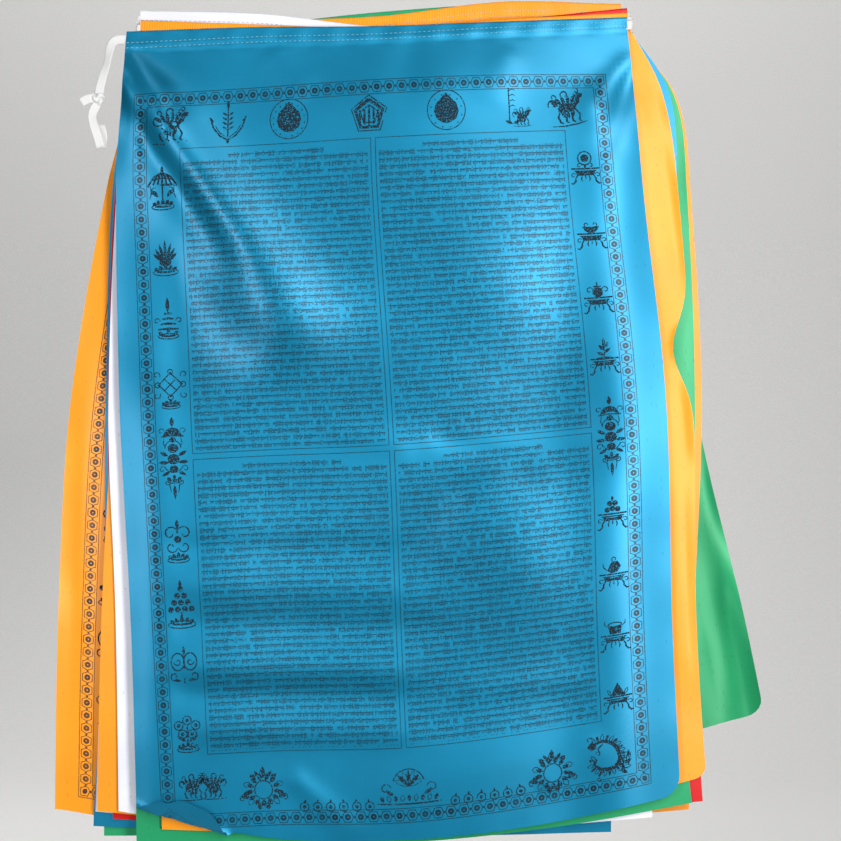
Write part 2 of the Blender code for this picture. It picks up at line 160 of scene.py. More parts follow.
# Fine creases of the front flag, on top of its drape
FRONT_CREASES = [
    Fold(-242, -44, -58, -334, 24, 50, 10.6),
    Fold(-254, -60, -128, -252, 11, 20, -5.4),
    Fold(28, -30, 100, -400, 115, 130, 9.0),
    Fold(95, -400, 80, -735, 115, 115, 9.5),
    Fold(204, -90, 216, -735, 34, 38, 5.6),
    Fold(-216, -90, -217, -735, 20, 24, 2.6),
    Fold(-246, -22, -196, -78, 6, 14, 2.2),
    Fold(-246, -30, -214, -96, 5, 9, -1.6),
    Fold(-246, -40, -228, -130, 4, 8, 1.4),
    Fold(222, -30, 172, -92, 7, 16, 1.6),
    Fold(222, -42, 196, -130, 6, 12, -1.2),
    Fold(-200, -482, 60, -488, 14, 15, -1.6),
    Fold(-200, -514, 70, -520, 14, 15, 1.5),
    Fold(-190, -552, 90, -558, 14, 15, -1.7),
    Fold(-200, -590, 60, -594, 13, 14, 1.5),
    Fold(-190, -616, 60, -620, 13, 14, -1.6),
    Fold(-180, -647, 70, -652, 13, 14, 1.4),
    Fold(60, -612, 200, -596, 13, 13, 1.2),
    Fold(-60, -372, 30, -392, 9, 14, 0.8),
    Fold(40, -378, 150, -420, 10, 12, -0.9),
    Fold(20, -20, 10, -90, 14, 30, -1.0),
    Fold(110, -24, 90, -84, 12, 26, 0.9),
    Fold(-110, -24, -70, -70, 14, 22, 1.0),
    Fold(-90, -690, -40, -735, 8, 14, 1.2),
    Fold(140, -700, 200, -650, 10, 16, 1.0),
]
# Creases of the strips that show beside the front flag
SIDE_CREASES = {
    "yellow_1": [
        Fold(240, -60, 262, -150, 10, 12, 1.4),
        Fold(262, -290, 288, -346, 5, 7, 2.6),
        Fold(274, -300, 284, -420, 7, 9, -1.8),
        Fold(262, -420, 276, -640, 10, 12, 1.5),
        Fold(250, -100, 270, -260, 8, 8, -1.2),
    ],
    "yellow_3": [
        Fold(-262, -120, -292, -420, 10, 14, 1.2),
        Fold(-282, -300, -300, -720, 12, 14, -1.2),
        Fold(-254, -200, -270, -500, 8, 12, 1.2),
        Fold(-305, -520, -290, -735, 8, 10, 1.0),
    ],
    "white_1": [
        Fold(-246, -120, -254, -480, 6, 8, 0.9),
        Fold(-256, -420, -246, -735, 6, 8, -0.8),
    ],
    "green_2": [Fold(270, -140, 276, -420, 6, 8, 0.9), Fold(262, -100, 268, -300, 5, 6, -0.8)],
    "green_4": [
        Fold(282, -372, 330, -600, 10, 20, 1.8),
        Fold(286, -470, 350, -690, 12, 20, -1.6),
        Fold(276, -560, 320, -716, 12, 18, 1.4),
        Fold(318, -520, 362, -650, 8, 14, 1.2),
        Fold(300, -420, 346, -560, 5, 8, -1.0),
        Fold(300, -690, 352, -640, 8, 10, 0.9),
    ],
}
FOLD_FADE_IN, FOLD_FADE_OUT = 0.22, 0.30
# How fast the waviness of the free edges dies away inwards, and how far it reaches
SIDE_WAVE_FADES, LOW_WAVE_FADES, WAVE_REACH = 26.0, 24.0, 0.4
# Reach, turns over the edge and start of each wave, the start moving on from flag to flag
SIDE_WAVES = ((0.55, 31.0, 2.1), (0.35, 67.0, 4.3))
LOW_WAVES = ((0.6, 27.0, 1.7), (0.4, 61.0, 3.1))
# Share of the height over which the waviness begins
WAVE_STARTS = 0.125

Tuck = namedtuple("Tuck", "flag side z half_tall depth")
TUCKS = [Tuck("yellow_1", "right", -300, 36, 17)]

Wing = namedtuple("Wing", "flag side from_x reach curl")
WINGS = [Wing("yellow_3", "left", -282, 30, 5), Wing("green_4", "right", 302, 50, 20)]
WING_GROWS_OVER = 300.0

# The front flag's lower left corner is turned up along this line, in millimetres
CORNER_FROM, CORNER_TO = (-231.0, -720.0), (-143.0, -745.0)
CORNER_ROLL = 2.2
CORNER_TURN = 0.94 * math.pi
# Share of the line over which the roll begins
CORNER_TAPER = 0.25
# How far the cloth goes past the line before it is turned up, at shares of the line
CORNER_SHARES = (0.0, 0.14, 0.22, 0.33, 0.62, 0.86, 1.0)
CORNER_EXTRA = (4.0, 19.0, 17.5, 25.5, 22.5, 11.0, 0.0)
# z at SHARES of the front flag's bottom edge, as if that corner hung down
FRONT_CUT_LOW = (-748, -747, -748, -733, -706)
# Radius of the rounded lower right corners, and the columns of points that each takes
ROUNDED = {"blue_1": 17.0, "yellow_1": 10.0, "green_4": 14.0}
ROUND_COLUMNS = 5

# Print, in millimetres from the border's outer top left corner
PRINT_WIDE, PRINT_TALL = 460.0, 680.0
BORDER = 13.0
PANEL_LEFT, PANEL_MID_LEFT, PANEL_MID_RIGHT, PANEL_RIGHT = 46.0, 229.0, 233.5, 416.5
PANEL_TOP, PANEL_MID_UP, PANEL_MID_DOWN, PANEL_LOW = 53.5, 335.0, 340.5, 612.0
# Half widths of the border's two rails and of the frames
RAIL_HALF, FRAME_HALF = 0.42, 0.4
# Rows of strokes: their pitch, the first one's top, one stroke's width and one gap's, how far they
# stay inside the frames at the top and bottom and at the sides, and half the title's width
ROW_PITCH, FIRST_ROW, CELL, GAP_CELL = 6.4, 12.0, 1.45, 3.1
ROWS_INSET, ROWS_INSET_SIDE, TITLE_HALF = 2.6, 3.0, 46.0
# The strokes of a row, as shares of its pitch downwards or of their own width across: where each
# begins, the nearest place where it ends, and how much further it may go
HEAD, MARK = (0.20, 0.33, 0.08), (0.0, 0.16, 0.0)
FOOT, FOOT_ACROSS = (0.28, 0.52, 0.36), (0.08, 0.38, 0.30)
# Half the width of a mark, a bar's highest middle, how much lower it may be, and half its height
MARK_HALF, BAR_AT, BAR_MOVES, BAR_HALF = 0.30, 0.46, 0.24, 0.06
# Shares of the strokes that are left out, by kind, and of the whole row that is gaps
HEADS_MISSING, FEET_MISSING, BARS_MISSING, MARKS_MISSING, GAPS = 0.05, 0.08, 0.42, 0.60, 0.025
# One link of the border's ornament, from its middle: a ring, slanted sides, straight edges, and a
# lozenge where two links meet
LINK_PITCH, LINK_REACH = 12.15, 5.2
RING_AT, RING_HALF = 1.75, 1.15
SLANT, SLANT_AT, SLANT_HALF, SLANT_REACH = 0.42, 5.1, 0.42, 4.9
EDGE_AT, EDGE_HALF, EDGE_REACH = 4.6, 0.38, 3.2
LOZENGE, LOZENGE_SLOPE = 1.1, 0.7
# Stray specks: the cells that may hold one each, their least place and how much further they may
# be across and down a cell, half their sizes, the share of cells without one, and how far outside
# the border they start
SPECK_CELL, SPECK_AT, SPECK_MOVES = (7.0, 12.0), (0.2, 0.25), (0.6, 0.5)
SPECK_HALF, SPECKS_MISSING, SPECKS_FROM = (0.055, 0.12), 0.84, 6.0
# Fixed seeds: of the second unevenness, the gaps, the specks, the wear, and the fields' numbers
UNEVEN_SEED, GAP_SEED, SPECK_SEED, WEAR_SEED, FIELD_SEEDS = 7.0, 5.0, 9.0, 3.0, (71.0, 137.0)
# The printing's unevenness in millimetres and its scale, and the ink's wear, scale and least cover
UNEVEN, UNEVEN_SCALE = 0.9, 0.9
WEAR, WEAR_SCALE, LEAST_INK = 0.6, 0.05, 0.62
# Cover of the rails and frames, of the strokes, of the specks, and of all of it
LINE_INK, STROKE_INK, SPECK_INK, INK_COVER = 0.85, 0.82, 0.25, 0.97
# Where the border lies on a flag, as shares of its width and height
PRINT_LEFT, PRINT_RIGHT, PRINT_TOP, PRINT_LOW = 0.043, 0.947, 0.075, 0.98
# The same right share on the two flags whose right strips show, with their prints further in
NARROWER_PRINTS = {"green_4": 0.86, "yellow_1": 0.915}
# The front flag's own: the left at SHARES of its height, the top and low at SHARES of its width
FRONT_PRINT_LEFT = (0.0215, 0.036, 0.040, 0.041, 0.048)
FRONT_PRINT_TOP = (0.082, 0.076, 0.067, 0.068, 0.074)
FRONT_PRINT_LOW = (0.990, 0.984, 0.979, 0.976, 0.978)

TiePoint = namedtuple("TiePoint", "x y z turn")
# The free tape at the front flag's left hem end: millimetres, y counted from the hem's middle, and
# the turn of its broad side in degrees
TIE_UPPER = [
    TiePoint(-241.0, 0.0, -14.5, 0),
    TiePoint(-247.5, 0.0, -14.3, 0),
    TiePoint(-252.0, -0.2, -15.0, 0),
    TiePoint(-255.6, -0.6, -18.0, 6),
    TiePoint(-257.6, -1.2, -23.0, 16),
    TiePoint(-258.8, -1.8, -29.0, 28),
    TiePoint(-260.2, -2.2, -36.0, 32),
    TiePoint(-262.2, -2.2, -43.0, 24),
    TiePoint(-264.4, -1.8, -50.0, 12),
    TiePoint(-266.4, -1.0, -57.0, 4),
    TiePoint(-267.8, -0.4, -65.0, 0),
]
TIE_END = [
    TiePoint(-271.5, -0.4, -68.0, 0),
    TiePoint(-277.5, -0.8, -69.0, 0),
    TiePoint(-281.0, -1.4, -70.6, 0),
    TiePoint(-284.0, -2.0, -72.6, 0),
]
TIE_TAIL = [
    TiePoint(-269.0, 0.0, -72.5, 0),
    TiePoint(-272.6, -0.4, -79.5, -14),
    TiePoint(-273.8, -0.8, -85.0, -26),
    TiePoint(-272.8, -1.2, -91.5, -22),
    TiePoint(-270.6, -1.4, -98.5, -10),
    TiePoint(-268.6, -1.2, -105.0, -4),
    TiePoint(-267.2, -0.6, -110.5, 0),
    TiePoint(-266.5, 0.9, -113.2, 0),
    TiePoint(-266.1, 2.6, -113.2, 0),
    TiePoint(-265.6, 4.0, -110.6, 0),
    TiePoint(-264.8, 4.6, -105.0, 6),
    TiePoint(-265.0, 4.8, -98.5, 20),
    TiePoint(-266.6, 4.8, -92.0, 34),
]
# x and z of the knot's middle, and how far the middle of its tape goes from there in x, y and z
KNOT_CENTRE, KNOT_REACH = (-268.0, -69.0), (4.4, 2.1, 4.3)
# Below this sine between a run of tape and the viewer's line, the run goes in depth
IN_DEPTH = 0.6
# Steps between two of a run's own points
TIE_STEPS, LOOP_STEPS = 3, 2
# The knot's tape: half its width and thickness, and the points along and round its path
KNOT_TAPE = (2.1, 1.4)
KNOT_STEPS, KNOT_AROUND, KNOT_STEP_LENGTH = 72, 10, 0.6
# Half a tape's section: shares of its width and of its thickness
TAPE_SHARES = (-0.5, -0.44, -0.25, 0.0, 0.25, 0.44, 0.5)
TAPE_HEIGHTS = (0.0, 0.42, 0.5, 0.46, 0.5, 0.42, 0.0)
# The tape's turn from hem to hem: how far down it is, how far out, how deep in the hem it starts
# and the points of its half round
LOOP_DROP, LOOP_REACH, LOOP_START, LOOP_POINTS = 7.5, 3.6, 1.0, 9

# Grids of the sheets
FRONT_COLUMNS, FRONT_ROWS = 110, 150
OTHER_COLUMNS, OTHER_ROWS = 52, 66
# Rows of a hem's points: millimetres from its top, shares of it, millimetres from its lower edge
HEM_FROM_TOP, HEM_SHARES, HEM_FROM_LOW = (0.0, 0.5, 1.6), (0.4, 0.7), (0.9, 0.0)
# The hem's pucker: how deep, how many radians a millimetre, and the height over which it begins
PUCKER, PUCKER_TURN, PUCKER_STARTS = 0.3, 0.2, 4.0
SHARP_ANGLE = math.radians(60)
# Rounds in which a place on the print settles on its place on the cloth
SETTLING_ROUNDS = 8
# The back's print coordinates start here, and the ink shows through that faintly
BACK_OF_PRINT, SHOW_THROUGH = 5000.0, 0.4
INK_OFF = 0.15
# Ribs of the hems, in millimetres: their pitch, how far below the top they go, and their heights
RIB_PITCH, RIBS_END, RIB_HEIGHT, RIB_HEIGHTS = 2.6, HEM_TALL + 4.0, 0.02, {"yellow_cloth": 0.16}
RIB_SWAY, RIB_SWAY_SCALE = 2.0, 0.12
# The satin, in millimetres: its threads, the scale of its slubs and of its dye, and their heights
THREAD_PITCH, SLUB_ACROSS, SLUB_ALONG, DYE_SCALE = 0.6, 1.4, 0.03, 0.012
WEAVE_HEIGHT, SLUB_HEIGHT = 0.006, 0.03
# How far the dye and the threads vary in tone
DYE_VARIES, DYE_LEAST, THREADS_VARY = 0.28, 0.84, 0.26
SATIN_ROUGH, THREADS_ROUGHEN, INK_ROUGHENS = 0.36, 0.12, 0.16
SATIN_SPECULAR, SATIN_COAT, SATIN_COAT_ROUGH = 0.03, 0.35, 0.31
# The tape's ribs and warp, in millimetres, and how far they and its nap vary its tone
TAPE_RIB_PITCH, TAPE_WARP_PITCH = 0.9, 0.7
TAPE_TONE, TAPE_NAP_VARIES, TAPE_WEAVE_VARIES = 0.90, 0.16, 0.03
TAPE_WEAVE_HEIGHT, TAPE_NAP_HEIGHT, TAPE_NAP_SCALE = 0.10, 0.15, 1.3
TAPE_ROUGH, TAPE_ROUGH_VARIES, TAPE_SHEEN = 0.75, 0.2, 0.3
# How strongly the heights of the satin and of the tape are shaded
SATIN_BUMP, TAPE_BUMP = 0.7, 0.8
# Plain finishes: the scale of their unevenness, their least tone, and how far their tone and
# roughness vary
PLAIN_SCALE, PLAIN_LEAST, PLAIN_VARIES, PLAIN_ROUGH_VARIES = 300.0, 0.88, 0.24, 0.16
# Flecks of the cloth in the emblems' ink: their scale, and the noise above which one shows
FLECK_SCALE, FLECKS_MISSING = 820.0, 0.59
# Share of each cloth's sheen that has the colour of its dye
LUSTRE = {
    "blue_cloth": 0.72,
    "yellow_cloth": 0.15,
    "green_cloth": 0.25,
    "red_cloth": 0.25,
    "white_cloth": 0.1,
}
# Stitches: points of each line, its ends as shares of the width, how far it is off the hem's face
STITCH_LINE_POINTS, STITCH_LINE_ENDS, STITCH_OFF = 160, (0.004, 0.996), 0.08
# Heights of the two rows of stitches above the hem's lower edge
STITCH_ROWS = (6.2, 1.4)

# Stage, in metres
FLOOR_Z, FLOOR_FRONT, FLOOR_HALF, BACKDROP_Y, BACKDROP_TOP = -1.10, -0.8, 6.0, 3.8, 4.0
# Radius of the sweep from the floor up into the backdrop, and its steps
SWEEP, SWEEP_STEPS = 1.2, 16
CAMERA_AT, CAMERA_LENS, CAMERA_SENSOR = (0.028, -2.225, -0.365), 102.4, 36.0
WORLD_COLOUR, WORLD_STRENGTH = (0.80, 0.86, 0.95, 1.0), 0.11
# Name, place, aim, size, power and colour of each soft light
LAMPS = (
    ("key", (0.68, -1.95, -0.08), (0.05, 0.0, -0.32), (0.40, 1.6), 41.0, (1.0, 0.99, 0.98)),
    ("side", (-0.98, -1.92, -0.30), (-0.2, 0.0, -0.35), (0.28, 1.0), 15.0, (0.97, 0.98, 1.0)),
    ("top", (-0.3, -1.3, 1.2), (0.0, 0.0, -0.1), (0.9, 0.3), 4.0, (1.0, 1.0, 1.0)),
    ("backdrop", (0.0, 1.8, 2.2), (0.0, 3.6, -0.2), (3.0, 0.6), 48.0, (1.0, 1.0, 1.0)),
    ("behind", (-1.1, 2.2, 1.3), (0.0, 0.0, -0.4), (1.0, 1.0), 32.0, (1.0, 1.0, 1.0)),
)


def smooth(t):
    """0 up to t = 0, 1 from t = 1, and a soft step between."""
    t = np.clip(t, 0.0, 1.0)
    return t * t * (3.0 - 2.0 * t)


def curve(stations, values, at):
    """A smooth curve through values at stations, which may run up or down."""
    stations, values = np.array(stations, float), np.array(values, float)
    at = np.asarray(at, float)
    if stations[-1] < stations[0]:
        stations, at = -stations, -at
    last = len(stations) - 1
    low, high = np.maximum(np.arange(last + 1) - 1, 0), np.minimum(np.arange(last + 1) + 1, last)
    slope = (values[high] - values[low]) / (stations[high] - stations[low])
    i = np.clip(np.searchsorted(stations, at, side="left") - 1, 0, last - 1)
    span = stations[i + 1] - stations[i]
    t = np.clip((at - stations[i]) / span, 0.0, 1.0)
    return (
        (2 * t**3 - 3 * t**2 + 1) * values[i]
        + (t**3 - 2 * t**2 + t) * span * slope[i]
        + (3 * t**2 - 2 * t**3) * values[i + 1]
        + (t**3 - t**2) * span * slope[i + 1]
    )


def side_x(flag, side, z):
    """x of a flag's side at height z."""
    x = curve(LEVELS, getattr(flag, side), z)
    for tuck in TUCKS:
        if (tuck.flag, tuck.side) == (flag.name, side):
            inwards = -1 if side == "right" else 1
            x = x + inwards * tuck.depth * np.exp(-(((z - tuck.z) / tuck.half_tall) ** 2))
    return x


def rise(folds, x, z):
    """How far the folds lift the cloth towards the viewer at x, z."""
    total = np.zeros_like(x)
    for fold in folds:
        along_x, along_z = fold.x_low - fold.x_top, fold.z_low - fold.z_top
        length_2 = along_x**2 + along_z**2
        t = ((x - fold.x_top) * along_x + (z - fold.z_top) * along_z) / length_2
        held = np.clip(t, 0.0, 1.0)
        off = np.hypot(x - fold.x_top - held * along_x, z - fold.z_top - held * along_z)
        wide = fold.wide_top + (fold.wide_low - fold.wide_top) * held
        fade = smooth((t + FOLD_FADE_IN / 2) / FOLD_FADE_IN)
        if fold.z_low > LEVELS[-1]:
            fade = fade * (1.0 - smooth((t - 1.0 + FOLD_FADE_OUT) / FOLD_FADE_OUT))
        total += fold.rise * fade * np.exp(-((off / wide) ** 2))
    return total


def wing_curl(flag, x, z):
    """How far a free side curls towards the viewer."""
    total = np.zeros_like(x)
    for wing in WINGS:
        if wing.flag == flag.name:
            out = (x - wing.from_x) * (1 if wing.side == "right" else -1)
            total += wing.curl * np.maximum(out / wing.reach, 0.0) ** 2
            total *= smooth(-z / WING_GROWS_OVER)
    return total


def solid_y(index, x, z):
    """y of the face that a flag's solid shows to the viewer."""
    lower = smooth(-z / PITCH_GROWS_OVER)
    pitch = TOP_PITCH + (LOW_PITCH - TOP_PITCH) * lower
    y = (index - REAR / 2) * pitch
    y = y - rise(DRAPE, x, z) - wing_curl(FLAGS[index], x, z)
    if index == FRONT:
        y = y - FRONT_GAP - (FRONT_GAP_LOW - FRONT_GAP) * lower - rise(FRONT_DRAPE, x, z)
    return y


def hem_tall(index, a):
    """Height of the hem at share a of the width. The front flag shows less of it to the right."""
    if index == FRONT:
        return FRONT_HEM_LEFT + (FRONT_HEM_RIGHT - FRONT_HEM_LEFT) * a
    return HEM_TALL + 0.0 * a


def flag_height(index, a):
    """Height of a flag's solid at share a of its width."""
    flag = FLAGS[index]
    return curve(SHARES, flag.top, a) - curve(SHARES, flag.bottom, a)


def cloth_xz(index, a, d):
    """x and z of a flag at share a of its width and d below its top edge."""
    flag = FLAGS[index]
    b = d / flag_height(index, a)
    left = side_x(flag, "left", flag.top[0] + (flag.bottom[0] - flag.top[0]) * b)
    right = side_x(flag, "right", flag.top[-1] + (flag.bottom[-1] - flag.top[-1]) * b)
    return left + (right - left) * a, curve(SHARES, flag.top, a) - d


def cut_height(index, a):
    """Height of a flag's cloth at share a of its width, with its turned or rounded corners."""
    tall = flag_height(index, a)
    radius = ROUNDED.get(FLAGS[index].name, 0.0)
    if radius:
        past = np.clip((a - 1.0) * FLAT_WIDE / radius + 1.0, 0.0, 1.0)
        tall = tall - radius * (1.0 - np.sqrt(1.0 - past**2))
    if index == FRONT:
        x, _ = cloth_xz(index, a, tall)
        t = (x - CORNER_FROM[0]) / (CORNER_TO[0] - CORNER_FROM[0])
        tall = tall + np.interp(t, CORNER_SHARES, CORNER_EXTRA) * (t < 1.0)
    return tall


def edge_wave(index, a, d):
    """The slight waviness of a flag's free side and bottom edges, towards the viewer."""
    b = d / FLAT_TALL
    near_side = np.exp(-np.minimum(a, 1 - a) * SIDE_WAVE_FADES)
    near_low = np.exp(-np.maximum(1 - b, 0.0) * LOW_WAVE_FADES)
    side = sum(reach * np.sin(b * turns + index * start) for reach, turns, start in SIDE_WAVES)
    low = sum(reach * np.sin(a * turns + index * start) for reach, turns, start in LOW_WAVES)
    return WAVE_REACH * (near_side * side + near_low * low) * smooth(b / WAVE_STARTS)


def turned_corner(x, y, z):
    """Turns up the front flag's lower left corner, towards the viewer, along its line."""
    line = np.subtract(CORNER_TO, CORNER_FROM)
    length = np.hypot(*line)
    along, down = line / length, np.array((line[1], -line[0])) / length
    off_x, off_z = x - CORNER_FROM[0], z - CORNER_FROM[1]
    t = (off_x * along[0] + off_z * along[1]) / length
    past = off_x * down[0] + off_z * down[1] + CORNER_ROLL * smooth((1 - t) / CORNER_TAPER)
    past = np.maximum(past, 0.0) * (t < 1.0)
    turned = np.minimum(past / CORNER_ROLL, CORNER_TURN)
    flat = np.maximum(past - CORNER_ROLL * CORNER_TURN, 0.0)
    reach = CORNER_ROLL * np.sin(turned) + flat * math.cos(CORNER_TURN)
    forward = CORNER_ROLL * (1 - np.cos(turned)) + flat * math.sin(CORNER_TURN)
    return x + (reach - past) * down[0], y - forward, z + (reach - past) * down[1]


class Sheet:
    """One flag's cloth: a grid of points on its middle, with the way each faces."""

    def __init__(self, index, columns, rows):
        self.index, self.columns, self.rows = index, columns, rows
        shares = np.linspace(0.0, 1.0, columns + 1)
        radius = ROUNDED.get(FLAGS[index].name, 0.0) / FLAT_WIDE
        if radius:
            turns = np.linspace(0.0, math.pi / 2, ROUND_COLUMNS + 1)
            straight = np.linspace(0.0, 1.0 - radius, columns - ROUND_COLUMNS, endpoint=False)
            shares = np.concatenate((straight, 1.0 - radius + radius * np.sin(turns)))
        self.a = shares[None, :]
        self.hem = hem_tall(index, self.a)
        self.tall = cut_height(index, self.a)
        steps = [0.0 * self.hem + down for down in HEM_FROM_TOP]
        steps += [self.hem * share for share in HEM_SHARES]
        steps += [self.hem - up for up in HEM_FROM_LOW]
        self.hem_rows = len(steps) - 1
        body = [self.hem + (self.tall - self.hem) * (i + 1) / rows for i in range(rows)]
        self.d = np.concatenate(steps + body, axis=0)
        self.a_all = self.a + 0.0 * self.d
        x, z = cloth_xz(index, self.a_all, self.d)
        y = solid_y(index, x, z) + SOLID_MIDDLE - edge_wave(index, self.a_all, self.d)
        folds = FRONT_CREASES if index == FRONT else SIDE_CREASES.get(FLAGS[index].name, [])
        y = y - rise(folds, x, z)
        hem = (self.d < self.hem + 0.01) * 1.0
        pucker = PUCKER * np.sin(x * PUCKER_TURN + index) * smooth(self.d / PUCKER_STARTS)
        y = y + hem * (HEM_MIDDLE - SOLID_MIDDLE) - hem * pucker
        if index == FRONT:
            x, y, z = turned_corner(x, y, z)
        self.points = np.stack((x, y, z), axis=-1)
        normal = np.cross(np.gradient(self.points, axis=0), np.gradient(self.points, axis=1))
        self.normals = normal / np.linalg.norm(normal, axis=-1, keepdims=True)

    def thickness(self, sizes):
        """Thickness at each row of the grid: the hem with its rounded edge, then the cloth."""
        hem, cloth = sizes.hem_thickness / MM, sizes.cloth_thickness / MM
        rows = [hem * HEM_EDGE_SHARE] + [hem] * (self.hem_rows - 1) + [cloth] * (self.rows + 1)
        return np.array(rows)[:, None] + 0.0 * self.d

    def at(self, a, d, off):
        """Points at shares a of the width and d below the top, off from the cloth's middle."""
        a = np.clip(a, 0.0, 1.0)
        hem, tall = hem_tall(self.index, a), cut_height(self.index, a)
        body = (d - hem) / (tall - hem) * self.rows + self.hem_rows
        ladder = self.d[: self.hem_rows + 1].mean(axis=1)
        ladder = ladder / ladder[-1]
        row = np.where(d < hem, np.interp(d / hem, ladder, np.arange(self.hem_rows + 1)), body)
        row = np.clip(row, 0, self.hem_rows + self.rows - 1e-6)
        column = np.interp(a, self.a[0], np.arange(self.columns + 1))
        column = np.clip(column, 0, self.columns - 1e-6)
        i, j = row.astype(int), column.astype(int)
        s, t = (row - i)[..., None], (column - j)[..., None]

        def blend(field):
            return (
                field[i, j] * (1 - s) * (1 - t)
                + field[i + 1, j] * s * (1 - t)
                + field[i, j + 1] * (1 - s) * t
                + field[i + 1, j + 1] * s * t
            )

        return blend(self.points) + blend(self.normals) * off

    def print_uv(self):
        """The print's u, v at each point of the grid."""
        return print_place(self.index, self.a_all, self.d)


def print_height(index, a):
    """Height over which a flag's print is laid out."""
    if index == FRONT:
        return curve(SHARES, FLAGS[index].top, a) - curve(SHARES, FRONT_CUT_LOW, a)
    return flag_height(index, a)


def print_place(index, a, d):
    """(u, v) in millimetres of the print at share a of a flag's width and d below its top."""
    b = d / print_height(index, a)
    left, top, low = PRINT_LEFT + 0.0 * b, PRINT_TOP + 0.0 * a, PRINT_LOW + 0.0 * a
    right = NARROWER_PRINTS.get(FLAGS[index].name, PRINT_RIGHT)
    if index == FRONT:
        left = curve(SHARES, FRONT_PRINT_LEFT, b)
        top, low = curve(SHARES, FRONT_PRINT_TOP, a), curve(SHARES, FRONT_PRINT_LOW, a)
    return (a - left) / (right - left) * PRINT_WIDE, (b - top) / (low - top) * PRINT_TALL


def share_of_print(index, u, v):
    """Share a of the width and distance d below the top at which the print's u, v lie."""
    a, d = u / PRINT_WIDE, v / PRINT_TALL * FLAT_TALL
    for _ in range(SETTLING_ROUNDS):
        at_u, at_v = print_place(index, a, d)
        a, d = a + (u - at_u) / FLAT_WIDE, d + (v - at_v)
    return a, d


SHEETS = {}


def sheet_of(index):
    """The cloth of one flag, laid out once and kept."""
    if index not in SHEETS:
        fine = index == FRONT
        columns, rows = (FRONT_COLUMNS, FRONT_ROWS) if fine else (OTHER_COLUMNS, OTHER_ROWS)
        SHEETS[index] = Sheet(index, columns, rows)
    return SHEETS[index]


def link(name, mesh, *materials):
    """A finished piece at the origin, moving with the one body."""
    for used in materials:
        mesh.materials.append(used)
    obj = bpy.data.objects.new(name, mesh)
    bpy.context.scene.collection.objects.link(obj)
    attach(obj, "root")
    return obj


def mesh_of(name, points, faces):
    """A smooth mesh from points in millimetres."""
    mesh = bpy.data.meshes.new(name)
    mesh.from_pydata((np.asarray(points) * MM).tolist(), [], faces)
    mesh.shade_smooth()
    return mesh


class Wiring:
    """Adds nodes to a tree and joins them, each call giving back the node's output."""

    def __init__(self, tree):
        self.tree = tree

    def node(self, kind, **settings):
        made = self.tree.nodes.new(kind)
        for key, value in settings.items():
            setattr(made, key, value)
        return made

    def put(self, value, socket):
        if isinstance(value, bpy.types.NodeSocket):
            self.tree.links.new(value, socket)
        else:
            socket.default_value = value

    def fill(self, node, inputs):
        """Puts values or outputs into a node's inputs, by name or number, and gives the node back."""
        for name, value in inputs.items():
            self.put(value, node.inputs[name])
        return node

    def math(self, operation, *values):
        made = self.node("ShaderNodeMath", operation=operation)
        return self.fill(made, dict(enumerate(values))).outputs[0]

    def folded(self, operation, values):
        found = values[0]
        for value in values[1:]:
            found = self.math(operation, found, value)
        return found

    def largest(self, *values):
        return self.folded("MAXIMUM", values)

    def product(self, *values):
        return self.folded("MULTIPLY", values)

    def total(self, *values):
        return self.folded("ADD", values)

    def above(self, value, low):
        return self.math("GREATER_THAN", value, low)

    def within(self, value, low, high):
        return self.product(self.above(value, low), self.math("LESS_THAN", value, high))

    def stretch(self, value, span, chance):
        """Whether a value lies in a span that a number from 0 to 1 makes longer."""
        start, least, more = span
        return self.within(value, start, self.scaled(chance, more, least))

    def distance(self, value, centre):
        return self.math("ABSOLUTE", self.math("SUBTRACT", value, centre))

    def near(self, value, centre, half):
        return self.math("LESS_THAN", self.distance(value, centre), half)

    def scaled(self, value, by, plus=0.0):
        return self.math("MULTIPLY_ADD", value, by, plus)

    def pair(self, x, y, z=0.0):
        return self.fill(self.node("ShaderNodeCombineXYZ"), {0: x, 1: y, 2: z}).outputs[0]

    def noise(self, vector, scale, detail=2.0, rough=0.5):
        inputs = {"Vector": vector, "Scale": scale, "Detail": detail, "Roughness": rough}
        return self.fill(self.node("ShaderNodeTexNoise"), inputs).outputs["Fac"]

    def dice(self, vector):
        """Three random numbers for each whole-numbered place."""
        made = self.node("ShaderNodeTexWhiteNoise", noise_dimensions="3D")
        self.put(vector, made.inputs["Vector"])
        apart = self.node("ShaderNodeSeparateColor")
        self.put(made.outputs["Color"], apart.inputs[0])
        return apart.outputs[0], apart.outputs[1], apart.outputs[2]

    def mix(self, share, low, high):
        """A colour between low and high. The mix node's inputs 6 and 7 are its two colours."""
        made = self.node("ShaderNodeMix", data_type="RGBA")
        return self.fill(made, {0: share, 6: low, 7: high}).outputs[2]

    def toned(self, colour, tone):
        """A colour made lighter or darker by a tone near 1."""
        made = self.node("ShaderNodeHueSaturation")
        return self.fill(made, {"Value": tone, "Color": (*colour, 1.0)}).outputs["Color"]

    def bump(self, height, strength):
        """The normal of a surface with heights in millimetres."""
        made = self.node("ShaderNodeBump")
        inputs = {"Strength": strength, "Distance": MM, "Height": height}
        return self.fill(made, inputs).outputs[0]

    def place(self, name):
        """The two coordinates of a UV map, in millimetres."""
        apart = self.node("ShaderNodeSeparateXYZ")
        self.put(self.node("ShaderNodeUVMap", uv_map=name).outputs[0], apart.inputs[0])
        return apart.outputs[0], apart.outputs[1]


